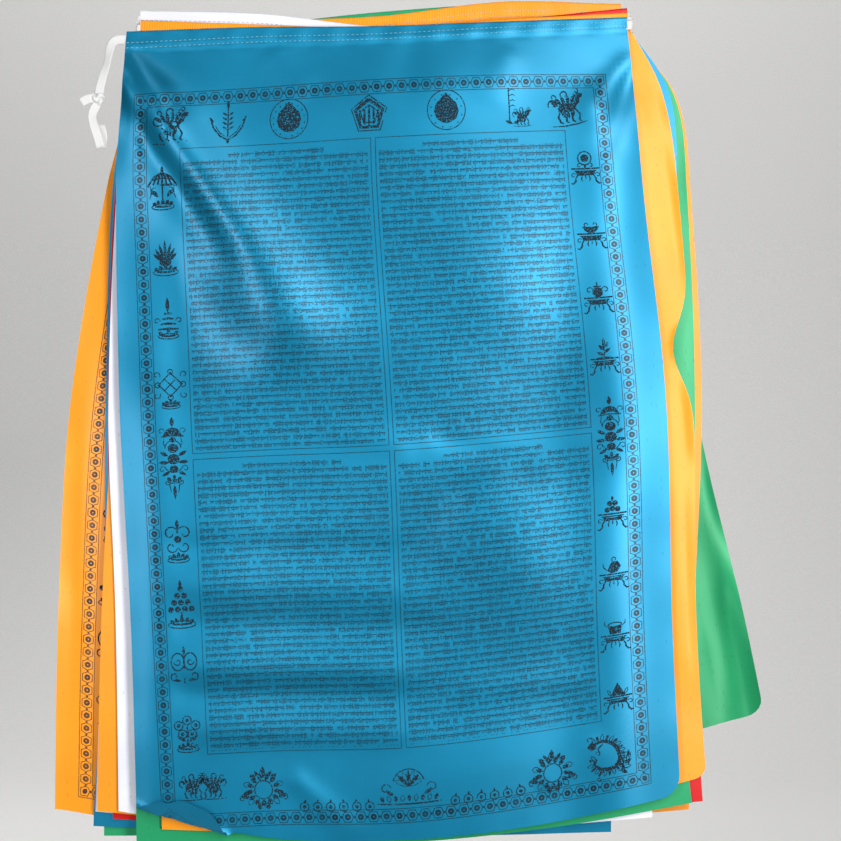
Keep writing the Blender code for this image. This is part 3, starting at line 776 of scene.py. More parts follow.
def uneven(w, u, v):
    """The print's u, v made a little uneven, and whether they are the cloth's back."""
    back = w.above(u, BACK_OF_PRINT / 2)
    u = w.math("SUBTRACT", u, w.scaled(back, BACK_OF_PRINT))
    over_u = w.noise(w.pair(u, v), UNEVEN_SCALE)
    over_v = w.noise(w.pair(v, u, UNEVEN_SEED), UNEVEN_SCALE)
    u = w.math("ADD", u, w.scaled(over_u, UNEVEN, -UNEVEN / 2))
    v = w.math("ADD", v, w.scaled(over_v, UNEVEN, -UNEVEN / 2))
    return u, v, back


def border(w, u, v):
    """The border's two rails, its linked ornament, how far outside it u, v are, and whether they are
    at one of its sides."""
    half_u, half_v = PRINT_WIDE / 2, PRINT_TALL / 2
    run_u, run_v = w.distance(u, half_u), w.distance(v, half_v)
    out_u, out_v = w.scaled(run_u, 1.0, -half_u), w.scaled(run_v, 1.0, -half_v)
    outside, on_side = w.math("MAXIMUM", out_u, out_v), w.above(out_u, out_v)
    rails = w.largest(w.near(outside, 0.0, RAIL_HALF), w.near(outside, -BORDER, RAIL_HALF))

    run = w.math("ADD", run_u, w.product(on_side, w.math("SUBTRACT", run_v, run_u)))
    in_link = w.math("FRACT", w.scaled(run, 1 / LINK_PITCH))
    along = w.math("ABSOLUTE", w.scaled(in_link, LINK_PITCH, -LINK_PITCH / 2))
    across = w.math("ABSOLUTE", w.scaled(outside, 1.0, BORDER / 2))
    reach = w.math("SQRT", w.math("ADD", w.product(along, along), w.product(across, across)))
    ring = w.near(reach, RING_AT, RING_HALF)
    slant = w.near(w.math("ADD", along, w.scaled(across, SLANT)), SLANT_AT, SLANT_HALF)
    slant = w.product(slant, w.near(across, 0.0, SLANT_REACH))
    edge = w.product(w.near(across, EDGE_AT, EDGE_HALF), w.near(along, 0.0, EDGE_REACH))
    from_joint = w.math("ADD", w.scaled(along, -1.0, LINK_PITCH / 2), w.scaled(across, LOZENGE_SLOPE))
    lozenge = w.math("LESS_THAN", from_joint, LOZENGE)
    links = w.product(w.largest(ring, slant, edge, lozenge), w.near(outside, -BORDER / 2, LINK_REACH))
    return rails, links, outside, on_side


def fields(w, u, v):
    """The frames of the four fields, then, in the field that u, v lie in: the distance from its
    middle line, from its top, outside its sides and outside its top and bottom, and its number."""
    lower = w.above(v, (PANEL_MID_UP + PANEL_MID_DOWN) / 2)
    righter = w.above(u, (PANEL_MID_LEFT + PANEL_MID_RIGHT) / 2)
    up_half, low_half = (PANEL_MID_UP - PANEL_TOP) / 2, (PANEL_LOW - PANEL_MID_DOWN) / 2
    up_mid, low_mid = (PANEL_MID_UP + PANEL_TOP) / 2, (PANEL_LOW + PANEL_MID_DOWN) / 2
    left_mid = (PANEL_LEFT + PANEL_MID_LEFT) / 2
    right_mid = (PANEL_MID_RIGHT + PANEL_RIGHT) / 2
    tall = w.scaled(lower, low_half - up_half, up_half)
    from_u = w.math("SUBTRACT", u, w.scaled(righter, right_mid - left_mid, left_mid))
    from_v = w.math("SUBTRACT", v, w.scaled(lower, low_mid - up_mid, up_mid))
    out_u = w.scaled(w.math("ABSOLUTE", from_u), 1.0, (PANEL_LEFT - PANEL_MID_LEFT) / 2)
    out_v = w.math("SUBTRACT", w.math("ABSOLUTE", from_v), tall)
    frames = w.near(w.math("MAXIMUM", out_u, out_v), 0.0, FRAME_HALF)
    number = w.math("ADD", w.scaled(righter, FIELD_SEEDS[0]), w.scaled(lower, FIELD_SEEDS[1]))
    return frames, from_u, w.math("ADD", from_v, tall), out_u, out_v, number


def broken_strokes(w, from_u, down, out_u, out_v, number):
    """Rows of broken strokes that stand for writing without being any: heads that join up into a
    line, feet that hang from them, bars across the feet and marks above."""
    rows = w.scaled(down, 1 / ROW_PITCH, -FIRST_ROW / ROW_PITCH)
    row, t = w.math("FLOOR", rows), w.math("FRACT", rows)
    seed = w.math("ADD", row, number)
    cell = w.scaled(from_u, 1 / CELL)
    in_cell = w.math("FRACT", cell)
    long, there, over = w.dice(w.pair(w.math("FLOOR", cell), seed))
    gap_cell = w.math("FLOOR", w.scaled(from_u, 1 / GAP_CELL))
    gap, _, _ = w.dice(w.pair(gap_cell, seed, GAP_SEED))
    head = w.product(w.stretch(t, HEAD, long), w.above(there, HEADS_MISSING))
    foot = w.product(w.stretch(t, FOOT, over), w.stretch(in_cell, FOOT_ACROSS, there))
    foot = w.product(foot, w.above(long, FEET_MISSING))
    bar = w.near(t, w.scaled(there, BAR_MOVES, BAR_AT), BAR_HALF)
    bar = w.product(bar, w.above(over, BARS_MISSING))
    mark = w.product(w.stretch(t, MARK, over), w.near(in_cell, 0.5, MARK_HALF))
    mark = w.product(mark, w.above(over, MARKS_MISSING))
    strokes = w.product(w.largest(head, foot, bar, mark), w.above(gap, GAPS))
    inside = w.within(out_v, -PRINT_TALL, -ROWS_INSET)
    body = w.product(w.above(row, -0.5), w.math("LESS_THAN", out_u, -ROWS_INSET_SIDE))
    title = w.product(w.near(row, -1.0, 0.5), w.near(from_u, 0.0, TITLE_HALF))
    return w.product(strokes, inside, w.math("MAXIMUM", body, title))


def specks(w, u, v, outside, on_side):
    """Small specks of stray ink in the side margins."""
    across, down = w.scaled(u, 1 / SPECK_CELL[0]), w.scaled(v, 1 / SPECK_CELL[1])
    *at, there = w.dice(w.pair(w.math("FLOOR", across), w.math("FLOOR", down), SPECK_SEED))
    at_x, at_y = (w.scaled(at[i], SPECK_MOVES[i], SPECK_AT[i]) for i in range(2))
    return w.product(
        w.near(w.math("FRACT", across), at_x, SPECK_HALF[0]),
        w.near(w.math("FRACT", down), at_y, SPECK_HALF[1]),
        w.above(there, SPECKS_MISSING),
        w.above(outside, SPECKS_FROM),
        on_side,
    )


def ruled_print():
    """Where the ink lies on a flag: the border and its ornament, the four frames and their rows."""
    tree = bpy.data.node_groups.new("Ruled print", "ShaderNodeTree")
    tree.interface.new_socket("Ink", in_out="OUTPUT", socket_type="NodeSocketFloat")
    w = Wiring(tree)
    u, v, back = uneven(w, *w.place("print"))
    rails, links, outside, on_side = border(w, u, v)
    frames, *place = fields(w, u, v)
    strokes = broken_strokes(w, *place)
    printed = w.largest(
        w.product(rails, LINE_INK), links, w.product(frames, LINE_INK), w.product(strokes, STROKE_INK)
    )
    worn = w.scaled(w.noise(w.pair(u, v, WEAR_SEED), WEAR_SCALE, 3.0), WEAR, LEAST_INK)
    printed = w.product(printed, w.math("MINIMUM", worn, 1.0))
    stray = w.product(specks(w, u, v, outside, on_side), SPECK_INK)
    ink = w.math("MAXIMUM", printed, stray)
    w.put(w.product(ink, w.scaled(back, SHOW_THROUGH - 1.0, 1.0)), w.node("NodeGroupOutput").inputs[0])
    return tree


def new_finish(name):
    """An empty material, the wiring of its nodes, and its shader."""
    made = bpy.data.materials.new(name)
    made.use_nodes = True
    return made, Wiring(made.node_tree), made.node_tree.nodes["Principled BSDF"]


def dyed_cloth(name, dye, ink_colour, printed):
    """Satin polyester in one dye: fine crossed threads, slubs, uneven dye, ribs along the hem, and
    the print on it."""
    made, w, shader = new_finish(name)
    u, v = w.place("cloth")
    flat = w.pair(u, v)
    uneven_dye = w.noise(flat, DYE_SCALE, 3.0)
    warp = w.noise(w.pair(w.scaled(u, SLUB_ACROSS), w.scaled(v, SLUB_ALONG)), 1.0, 3.0, 0.6)
    weft = w.noise(w.pair(w.scaled(u, SLUB_ALONG), w.scaled(v, SLUB_ACROSS)), 1.0, 3.0, 0.6)
    threads = w.math("ADD", w.scaled(warp, 0.5), w.scaled(weft, 0.5))
    dye_tone = w.scaled(uneven_dye, DYE_VARIES, DYE_LEAST)
    tone = w.math("ADD", dye_tone, w.scaled(threads, THREADS_VARY, -THREADS_VARY / 2))
    inked = w.product(w.node("ShaderNodeGroup", node_tree=printed).outputs[0], INK_COVER)
    rough = w.scaled(threads, THREADS_ROUGHEN, SATIN_ROUGH)

    turn = 2 * math.pi / THREAD_PITCH
    weave = w.product(w.math("SINE", w.scaled(u, turn)), w.math("SINE", w.scaled(v, turn)))
    rib_at = w.math("ADD", u, w.scaled(w.noise(flat, RIB_SWAY_SCALE), RIB_SWAY))
    rib = w.math("SINE", w.scaled(rib_at, 2 * math.pi / RIB_PITCH))
    ribs = w.product(rib, w.math("LESS_THAN", v, RIBS_END))
    height = w.total(
        w.scaled(weave, WEAVE_HEIGHT),
        w.scaled(threads, SLUB_HEIGHT),
        w.scaled(ribs, RIB_HEIGHTS.get(name, RIB_HEIGHT)),
    )
    w.fill(shader, {
        "Base Color": w.mix(inked, w.toned(dye, tone), (*ink_colour, 1.0)),
        "Roughness": w.math("ADD", rough, w.scaled(inked, INK_ROUGHENS)),
        "Metallic": LUSTRE[name],
        "Specular IOR Level": SATIN_SPECULAR,
        "Coat Weight": SATIN_COAT,
        "Coat Roughness": SATIN_COAT_ROUGH,
        "Normal": w.bump(height, SATIN_BUMP),
    })
    return made


def cotton_tape(name, colour):
    """Matt woven tape: close ribs across it and a soft nap."""
    made, w, shader = new_finish(name)
    u, v = w.place("cloth")
    nap = w.noise(w.pair(u, v), TAPE_NAP_SCALE, 4.0, 0.6)
    ribs = w.math("SINE", w.scaled(v, 2 * math.pi / TAPE_RIB_PITCH))
    warp = w.math("SINE", w.scaled(u, 2 * math.pi / TAPE_WARP_PITCH))
    woven = w.product(ribs, warp)
    tone = w.math("ADD", w.scaled(nap, TAPE_NAP_VARIES), w.scaled(woven, TAPE_WEAVE_VARIES, TAPE_TONE))
    height = w.math("ADD", w.scaled(woven, TAPE_WEAVE_HEIGHT), w.scaled(nap, TAPE_NAP_HEIGHT))
    w.fill(shader, {
        "Base Color": w.toned(colour, tone),
        "Roughness": w.scaled(nap, TAPE_ROUGH_VARIES, TAPE_ROUGH),
        "Sheen Weight": TAPE_SHEEN,
        "Normal": w.bump(height, TAPE_BUMP),
    })
    return made


def plain(name, colour, rough, sheen=0.0, gloss=0.5, under=None):
    """A material whose tone and roughness vary a little over the piece. What is under it may show
    through in flecks."""
    made, w, shader = new_finish(name)
    at = w.node("ShaderNodeTexCoord").outputs["Object"]
    tone = w.noise(at, PLAIN_SCALE)
    shown = w.toned(colour, w.scaled(tone, PLAIN_VARIES, PLAIN_LEAST))
    if under:
        fleck = w.above(w.noise(at, FLECK_SCALE), FLECKS_MISSING)
        shown = w.mix(fleck, shown, (*under, 1.0))
    w.fill(shader, {
        "Base Color": shown,
        "Roughness": w.scaled(tone, PLAIN_ROUGH_VARIES, rough - PLAIN_ROUGH_VARIES / 2),
        "Sheen Weight": sheen,
        "Specular IOR Level": gloss,
    })
    return made


def cloth_mesh(index, sizes):
    """The closed mesh of one flag, with its cloth and print coordinates."""
    sheet = sheet_of(index)
    half = sheet.thickness(sizes)[..., None] / 2
    front, back = sheet.points + sheet.normals * half, sheet.points - sheet.normals * half
    down, across = sheet.rows + sheet.hem_rows, sheet.columns
    count = (down + 1) * (across + 1)
    grid = np.arange(count).reshape(down + 1, across + 1)
    a, b, c, d = grid[:-1, :-1], grid[1:, :-1], grid[1:, 1:], grid[:-1, 1:]
    faces = [np.stack((a, b, c, d), -1).reshape(-1, 4)]
    faces.append(np.stack((a, d, c, b), -1).reshape(-1, 4) + count)
    for rim in (grid[:, 0], grid[-1]):
        faces.append(np.stack((rim[:-1], rim[:-1] + count, rim[1:] + count, rim[1:]), -1))
    for rim in (grid[:, -1], grid[0]):
        faces.append(np.stack((rim[:-1], rim[1:], rim[1:] + count, rim[:-1] + count), -1))
    points = np.concatenate((front.reshape(-1, 3), back.reshape(-1, 3)))
    mesh = mesh_of("flag_cloth_" + FLAGS[index].name, points, np.concatenate(faces).tolist())
    flat_uv = np.stack((sheet.a_all * FLAT_WIDE, sheet.d), -1).reshape(-1, 2)
    print_uv = np.stack(sheet.print_uv(), -1).reshape(-1, 2)
    corners = np.empty(len(mesh.loops), np.int32)
    mesh.loops.foreach_get("vertex_index", corners)
    for name, uv, step in (("cloth", flat_uv, 0.0), ("print", print_uv, BACK_OF_PRINT)):
        both = np.concatenate((uv, uv + (step, 0.0)))
        layer = mesh.uv_layers.new(name=name)
        layer.uv.foreach_set("vector", both[corners].astype(np.float32).ravel())
    mesh.set_sharp_from_angle(angle=SHARP_ANGLE)
    return mesh


def tape_run(points, acrosses, wide, thick):
    """Points, faces and cloth coordinates of a run of tape, domed across and closed at its ends."""
    ring = list(zip(TAPE_SHARES, TAPE_HEIGHTS))
    ring += [(share, -height) for share, height in ring[-2:0:-1]]
    out, faces, uv = [], [], []
    run, last = 0.0, len(points) - 1
    for i, centre in enumerate(points):
        tangent = (points[min(i + 1, last)] - points[max(i - 1, 0)]).normalized()
        across = acrosses[i].normalized()
        through = across.cross(tangent).normalized()
        if i:
            run += (centre - points[i - 1]).length
        for share, height in ring:
            out.append(tuple(centre + across * share * wide + through * height * thick))
            uv.append((share * wide, run))
    size = len(ring)
    for i in range(last):
        for j in range(size):
            k = (j + 1) % size
            faces.append((i * size + j, i * size + k, (i + 1) * size + k, (i + 1) * size + j))
    faces.append(tuple(range(size))[::-1])
    faces.append(tuple(last * size + j for j in range(size)))
    return out, faces, uv


def ribbon_mesh(name, runs):
    """One mesh of several runs of tape."""
    points, faces, uvs = [], [], []
    for run_points, run_faces, run_uv in runs:
        start = len(points)
        points += run_points
        uvs += run_uv
        faces += [tuple(start + i for i in face) for face in run_faces]
    mesh = mesh_of(name, points, faces)
    maker = bmesh.new()
    maker.from_mesh(mesh)
    bmesh.ops.recalc_face_normals(maker, faces=maker.faces)
    layer = maker.loops.layers.uv.new("cloth")
    for face in maker.faces:
        for loop in face.loops:
            loop[layer].uv = uvs[loop.vert.index]
    maker.to_mesh(mesh)
    maker.free()
    return mesh


def eased(points, steps):
    """The points and more between them, a number of steps from each to the next, on a smooth curve
    through them all."""
    out = []
    last = len(points) - 1
    for i in range(last):
        p0, p1, p2, p3 = points[max(i - 1, 0)], points[i], points[i + 1], points[min(i + 2, last)]
        for k in range(steps):
            t = k / steps
            out.append(
                0.5 * (2 * p1 + (p2 - p0) * t + (2 * p0 - 5 * p1 + 4 * p2 - p3) * t**2
                       + (3 * p1 - p0 - 3 * p2 + p3) * t**3)
            )
    out.append(points[-1])
    return out


def tie_level():
    """y of the free tape where it leaves the front flag's hem."""
    flag = FLAGS[FRONT]
    z = flag.top[0] - LOOP_DROP
    x = side_x(flag, "left", z)
    return float(solid_y(FRONT, np.array(x), np.array(float(z)))) + HEM_MIDDLE


def tie_lines(table):
    """Centres and broad-side directions of one run of the free tape."""
    level = tie_level()
    centres = [Vector((p.x, level + p.y, p.z)) for p in table]
    acrosses, last = [], len(table) - 1
    for i, point in enumerate(table):
        tangent = (centres[min(i + 1, last)] - centres[max(i - 1, 0)]).normalized()
        across = tangent.cross(Vector((0, -1, 0)))
        if across.length < IN_DEPTH:
            across = acrosses[-1].copy()
        if acrosses and across.dot(acrosses[-1]) < 0:
            across.negate()
        across = (across - tangent * across.dot(tangent)).normalized()
        turn = math.radians(point.turn)
        acrosses.append(across * math.cos(turn) + tangent.cross(across) * math.sin(turn))
    return eased(centres, TIE_STEPS), eased(acrosses, TIE_STEPS)


def loop_line(index):
    """Centres of the tape's turn from one hem round into the next."""
    outwards, a = (1, 1.0) if index % 2 == 0 else (-1, 0.0)
    ends = []
    for k in (index, index + 1):
        point = sheet_of(k).at(np.array([a]), np.array([LOOP_DROP]), 0.0)[0]
        ends.append(Vector(point) - Vector((outwards * LOOP_START, 0, 0)))
    start, end = ends
    far = outwards * max(outwards * start.x, outwards * end.x) + outwards * LOOP_REACH
    radius = (end.y - start.y) / 2
    centres = [start]
    for turn in np.linspace(0.0, math.pi, LOOP_POINTS):
        x = far + outwards * radius * math.sin(turn)
        centres.append(Vector((x, start.y + radius * (1 - math.cos(turn)), 0)))
    centres.append(end)
    for i, centre in enumerate(centres):
        centre.z = start.z + (end.z - start.z) * i / (len(centres) - 1)
    return centres


def knot_mesh(name):
    """A tightened overhand knot of the tape: a closed, flattened run on a three-lobed path."""
    level, steps, around = tie_level(), KNOT_STEPS, KNOT_AROUND
    points = []
    for i in range(steps):
        t = 2 * math.pi * i / steps
        points.append(Vector((
            KNOT_CENTRE[0] + (math.sin(t) + 2 * math.sin(2 * t)) / 3 * KNOT_REACH[0],
            level + math.sin(3 * t) * KNOT_REACH[1],
            KNOT_CENTRE[1] + (math.cos(t) - 2 * math.cos(2 * t)) / 3 * KNOT_REACH[2],
        )))
    wide, thick = KNOT_TAPE
    out, faces, uvs = [], [], []
    for i, centre in enumerate(points):
        tangent = (points[(i + 1) % steps] - points[i - 1]).normalized()
        through = Vector((0, -1, 0))
        through = (through - tangent * through.dot(tangent)).normalized()
        across = tangent.cross(through).normalized()
        for j in range(around):
            turn = 2 * math.pi * j / around
            sideways, forwards = across * math.cos(turn) * wide, through * math.sin(turn) * thick
            out.append(tuple(centre + sideways + forwards))
            uvs.append((turn, i * KNOT_STEP_LENGTH))
    for i in range(steps):
        for j in range(around):
            k, n = (j + 1) % around, (i + 1) % steps
            faces.append((i * around + j, i * around + k, n * around + k, n * around + j))
    return ribbon_mesh(name, [(out, faces, uvs)])


class Pen:
    """Draws patches and strokes of ink in the print's millimetres, v downwards."""

    def __init__(self):
        self.points, self.faces = [], []
        self.at(0.0, 0.0)

    def at(self, u, v, size=1.0, lean=0.0, side=1):
        """Sets where the next emblem's own centre lies, its size, lean and left-right sense."""
        self.frame = (u, v, size, math.radians(lean), side)

    def put(self, outline):
        """Adds points of the emblem that is being drawn and gives their numbers."""
        u, v, size, lean, side = self.frame
        first = len(self.points)
        for x, y in outline:
            x, y = x * size * side, y * size
            across = x * math.cos(lean) - y * math.sin(lean)
            self.points.append((u + across, v + x * math.sin(lean) + y * math.cos(lean)))
        return list(range(first, len(self.points)))

    def face(self, *corners):
        """Adds a face that is seen from the front."""
        turn = sum(
            self.points[a][0] * self.points[b][1] - self.points[b][0] * self.points[a][1]
            for a, b in zip(corners, corners[1:] + corners[:1])
        )
        self.faces.append(corners if turn < 0 else corners[::-1])

    def patch(self, outline):
        """Fills an outline that can be seen whole from its middle."""
        middle = tuple(sum(values) / len(outline) for values in zip(*outline))
        ring, hub = self.put(outline), self.put([middle])[0]
        for a, b in zip(ring, ring[1:] + ring[:1]):
            self.face(hub, a, b)

    def line(self, path, wide=0.9, point=0.0):
        """A stroke along a path; point is how much thinner it is at its ends."""
        last = len(path) - 1
        left, right = [], []
        for i, (x, y) in enumerate(path):
            (ax, ay), (bx, by) = path[max(i - 1, 0)], path[min(i + 1, last)]
            long = math.hypot(bx - ax, by - ay) or 1.0
            half = wide / 2 * (1 - point * abs(2 * i / last - 1) ** 2)
            nx, ny = -(by - ay) / long * half, (bx - ax) / long * half
            left.append((x + nx, y + ny))
            right.append((x - nx, y - ny))
        a, b = self.put(left), self.put(right)
        for i in range(last):
            self.face(a[i], a[i + 1], b[i + 1], b[i])

    def arc(self, x, y, radius, start=0, end=360, wide=0.9, steps=12, tall=1.0):
        """Part of a ring, its turns in degrees from the right, downwards."""
        turns = [math.radians(start + (end - start) * i / steps) for i in range(steps + 1)]
        self.line([(x + radius * math.cos(t), y + radius * tall * math.sin(t)) for t in turns], wide)

    def disc(self, x, y, radius, tall=1.0, sides=9):
        """A filled round."""
        turns = [2 * math.pi * i / sides for i in range(sides)]
        self.patch([(x + radius * math.cos(t), y + radius * tall * math.sin(t)) for t in turns])

    def petal(self, x, y, long, wide, angle, full=True):
        """A pointed leaf from x, y, its tip at an angle from straight up."""
        c, s = math.cos(math.radians(angle)), math.sin(math.radians(angle))
        shape = ((0, 0), (0.35, 0.42), (0.7, 0.38), (1.0, 0.0), (0.7, -0.38), (0.35, -0.42))
        outline = [
            (x + s * t * long + c * w * wide, y - c * t * long + s * w * wide) for t, w in shape
        ]
        if full:
            self.patch(outline)
        else:
            self.line(outline + outline[:1], 0.7)

    def curl(self, x, y, radius, start, turn, wide=0.9):
        """A stroke that winds in from a radius round x, y."""
        path = []
        for i in range(11):
            t = i / 10
            r, a = radius * (1 - 0.72 * t), math.radians(start + turn * t)
            path.append((x + r * math.cos(a), y + r * math.sin(a)))
        self.line(path, wide, 0.4)

    def both(self, draw):
        """Draws something and its mirror image."""
        frame = self.frame
        draw()
        self.frame = (*frame[:4], -frame[4])
        draw()
        self.frame = frame


def lotus(pen, y, reach, petals=5):
    """A flower seat: petals over an oval."""
    for i in range(petals):
        share = 2 * i / (petals - 1) - 1
        pen.petal(share * reach * 0.55, y, 5.0 - abs(share), 3.4, share * 58)
    pen.arc(0, y + 1.4, reach, wide=0.9, steps=14, tall=0.26)
    pen.line([(-reach * 0.7, y + 0.8), (0, y + 1.3), (reach * 0.7, y + 0.8)], 1.6)


def flames(pen, y, reach, tall, count):
    """Tongues that rise from one place."""
    for i in range(count):
        share = 2 * i / (count - 1) - 1
        pen.petal(share * reach * 0.3, y, tall * (1 - 0.45 * abs(share)), 2.8, share * 46)


def table(pen):
    """A low table with splayed legs, its top at y = 0."""
    pen.line([(-11.5, 0), (-6, 0.2), (0, 0.2), (6, 0.2), (11.5, 0)], 1.3)
    pen.line([(-9, 2.0), (0, 2.2), (9, 2.0)], 1.0)
    pen.patch([(-8, 2.6), (8, 2.6), (7, 5.8), (-7, 5.8)])

    def leg():
        pen.line([(6.5, 5.4), (8.2, 8.0), (8.4, 10.4), (10.6, 12.6), (12.4, 12.0)], 1.5, 0.4)
        pen.line([(2.6, 5.4), (3.6, 8.4), (3.0, 10.6)], 1.1, 0.5)
        pen.curl(10.0, 5.6, 2.2, 200, 330, 0.8)

    pen.both(leg)
    pen.line([(0, 5.6), (0, 8.6)], 0.9)


def mirror(pen):
    """A round mirror on a stand."""
    pen.arc(0, -8.5, 5.6, wide=1.1)
    pen.disc(0, -8.5, 3.4)
    pen.line([(0, -3), (0, 0)], 1.6)
    pen.both(lambda: pen.curl(4.6, -2.4, 2.4, 190, 300))


def bowl(pen):
    """A bowl with a rim and a foot, and smoke that curls from it."""
    turns = [math.radians(t) for t in range(0, 181, 20)]
    pen.patch([(6 * math.cos(t), -5 + 4.5 * math.sin(t)) for t in turns])
    pen.line([(-6.8, -5.4), (0, -5.2), (6.8, -5.4)], 0.9)
    pen.line([(-2.6, -0.4), (2.6, -0.4)], 1.0)
    pen.both(lambda: pen.curl(3.2, -7.4, 2.4, 90, -300))


def jar(pen):
    """A round jar with a stopper and ribbons."""
    pen.disc(0, -4.4, 4.4)
    pen.line([(-3, -9.2), (3, -9.2)], 1.2)
    pen.line([(0, -9), (0, -13)], 2.2, 0.5)
    pen.both(lambda: pen.curl(6.4, -6.2, 3.0, 180, 330))


def sprig(pen):
    """A leafy sprig in a dish."""
    pen.line([(0, 0), (0.6, -6), (-0.4, -12)], 1.0)
    for i, angle in enumerate((-62, 54, -38, 40, 4)):
        pen.petal(0.2, -2.6 - 2.0 * i, 6.4, 3.0, angle)
    pen.line([(-6, 0), (0, -0.8), (6, 0)], 1.8)


def fruit(pen):
    """A heap of five fruits with a leaf."""
    for x, y in ((-4.2, -3.4), (4.2, -3.4), (0, -4.2), (-2.2, -8.4), (2.2, -8.4)):
        pen.disc(x, y, 2.3)
    pen.petal(0, -10, 4.6, 2.4, 0)


def shell(pen):
    """A horned shell."""
    pen.patch([(-5, -3), (-2, -9.5), (3, -10.5), (6, -6), (3, -1.5), (-2, -0.6)])
    pen.curl(0.6, -12, 2.6, 60, 400)
    pen.line([(-5, -3), (-8, -6), (-8.6, -9)], 1.2, 0.6)


def drum(pen):
    """A tapered drum with cords."""
    pen.patch([(-5.5, -7), (5.5, -7), (4.4, -1), (-4.4, -1)])
    pen.arc(0, -8.6, 5.6, tall=0.3)
    pen.both(lambda: pen.line([(5.5, -7), (8.2, -9), (8.4, -12)], 0.9, 0.5))


def grain(pen):
    """A pointed heap of grain between two leaves."""
    pen.patch([(-6, -0.6), (-3, -6), (0, -11.5), (3, -6), (6, -0.6)])
    pen.both(lambda: pen.petal(5.4, -1, 6.0, 2.2, 28, False))


def woven_knot(pen, reach):
    """A lattice knot: crossed runs with a round turn at each corner."""
    for k in (-0.5, 0.0, 0.5):
        for sense in (1, -1):
            a = (-reach * 0.5 + k * reach * 0.9, sense * (-reach * 0.5 - k * reach * 0.9))
            b = (reach * 0.5 + k * reach * 0.9, sense * (reach * 0.5 - k * reach * 0.9))
            middle = ((a[0] + b[0]) / 2, (a[1] + b[1]) / 2)
            pen.line([a, middle, b], 1.0)
    for i in range(4):
        turn = i * math.pi / 2
        x, y = math.cos(turn) * reach * 0.98, math.sin(turn) * reach * 0.98
        pen.arc(x, y, reach * 0.2, wide=0.9, steps=8)
    pen.both(lambda: pen.curl(reach * 1.05, -reach * 0.75, reach * 0.3, 150, 320))
    pen.both(lambda: pen.curl(reach * 1.05, reach * 0.8, reach * 0.3, 210, -320))


def standard(pen, tall):
    """The long middle ornament: canopy, jewel, seat and hanging tassels, one over another."""
    top = -tall / 2
    pen.petal(0, top + 9, 9, 4.6, 0)
    pen.patch([(-9, top + 17), (-5, top + 11), (0, top + 9.5), (5, top + 11), (9, top + 17)])
    pen.line([(-10.5, top + 18), (0, top + 17.2), (10.5, top + 18)], 1.3)

    def side():
        pen.curl(10.2, top + 13, 3.2, 170, 330)
        pen.line([(7.5, top + 18), (8.6, top + 24), (7.0, top + 28)], 1.0, 0.6)
        pen.petal(4.6, top + 36, 9, 4.0, 62)
        pen.petal(4.0, top + 42, 10, 4.0, 88)
        pen.curl(10.6, top + 48, 3.4, 200, 330)
        pen.petal(3.4, top + 50, 9, 3.6, 118)
        pen.curl(6.4, top + 60, 3.0, 190, -330)
        pen.line([(3.4, top + 56), (4.6, top + 63), (3.4, top + 70)], 1.0, 0.5)

    pen.both(side)
    for y, reach in ((21, 3.2), (29, 5.2), (39, 5.8), (48, 4.2)):
        pen.disc(0, top + y, reach, 0.85)
    pen.arc(0, top + 29, 7.4, 180, 360)
    pen.arc(0, top + 42, 9.2, 20, 160)
    lotus(pen, top + 58, 6.4, 3)
    pen.petal(0, top + 62, 14, 3.8, 180)


def creature(pen, seed):
    """A small prancing animal of no one kind: body, neck, legs, mane and tail of curls."""
    for i in range(6):
        pen.petal(-6 + 2.4 * i, -2.6, 7.4, 3.2, -50 + 19 * i)
    for i in range(3):
        pen.petal(-5 + 5 * i, 1.5, 6.0, 2.6, 150 + 26 * i)
    pen.patch([
        (-7, -1), (-4, -4.4), (2, -4.0), (6, -3.0), (7, 0.6), (3, 2.4), (-3, 2.4), (-6.6, 1.6)
    ])
    pen.line([(5.2, -1), (8.6, -4.4), (9.2, -8.4)], 3.4, 0.3)
    pen.patch([(7.4, -7.2), (10.2, -10.4), (13.4, -9.4), (12.6, -7.2), (9.6, -6.0)])
    for x, lean in ((-5.4, -2.2), (-2.6, 1.2), (3.2, -0.6), (6.0, 3.0)):
        foot = x + lean * 0.5
        pen.line([(x, 1), (x + lean, 5.4), (foot, 9.2), (foot + 1.8, 10.4)], 1.6, 0.3)
    for i in range(4):
        pen.curl(4.6 + 1.5 * i, -6.2 - 1.9 * i, 2.0, 200 + 20 * seed, 300, 0.9)
    pen.curl(-9.6, -4.4, 4.2, 40 + 30 * seed, 320, 1.3)
    pen.curl(-8.8, -9.4, 2.6, 60, -300, 1.0)
    pen.curl(0.0, -10.4, 3.6, 120, 330, 1.2)
    pen.line([(-13, 11.4), (-4, 12.4), (6, 12.0), (13, 11.0)], 1.1, 0.5)


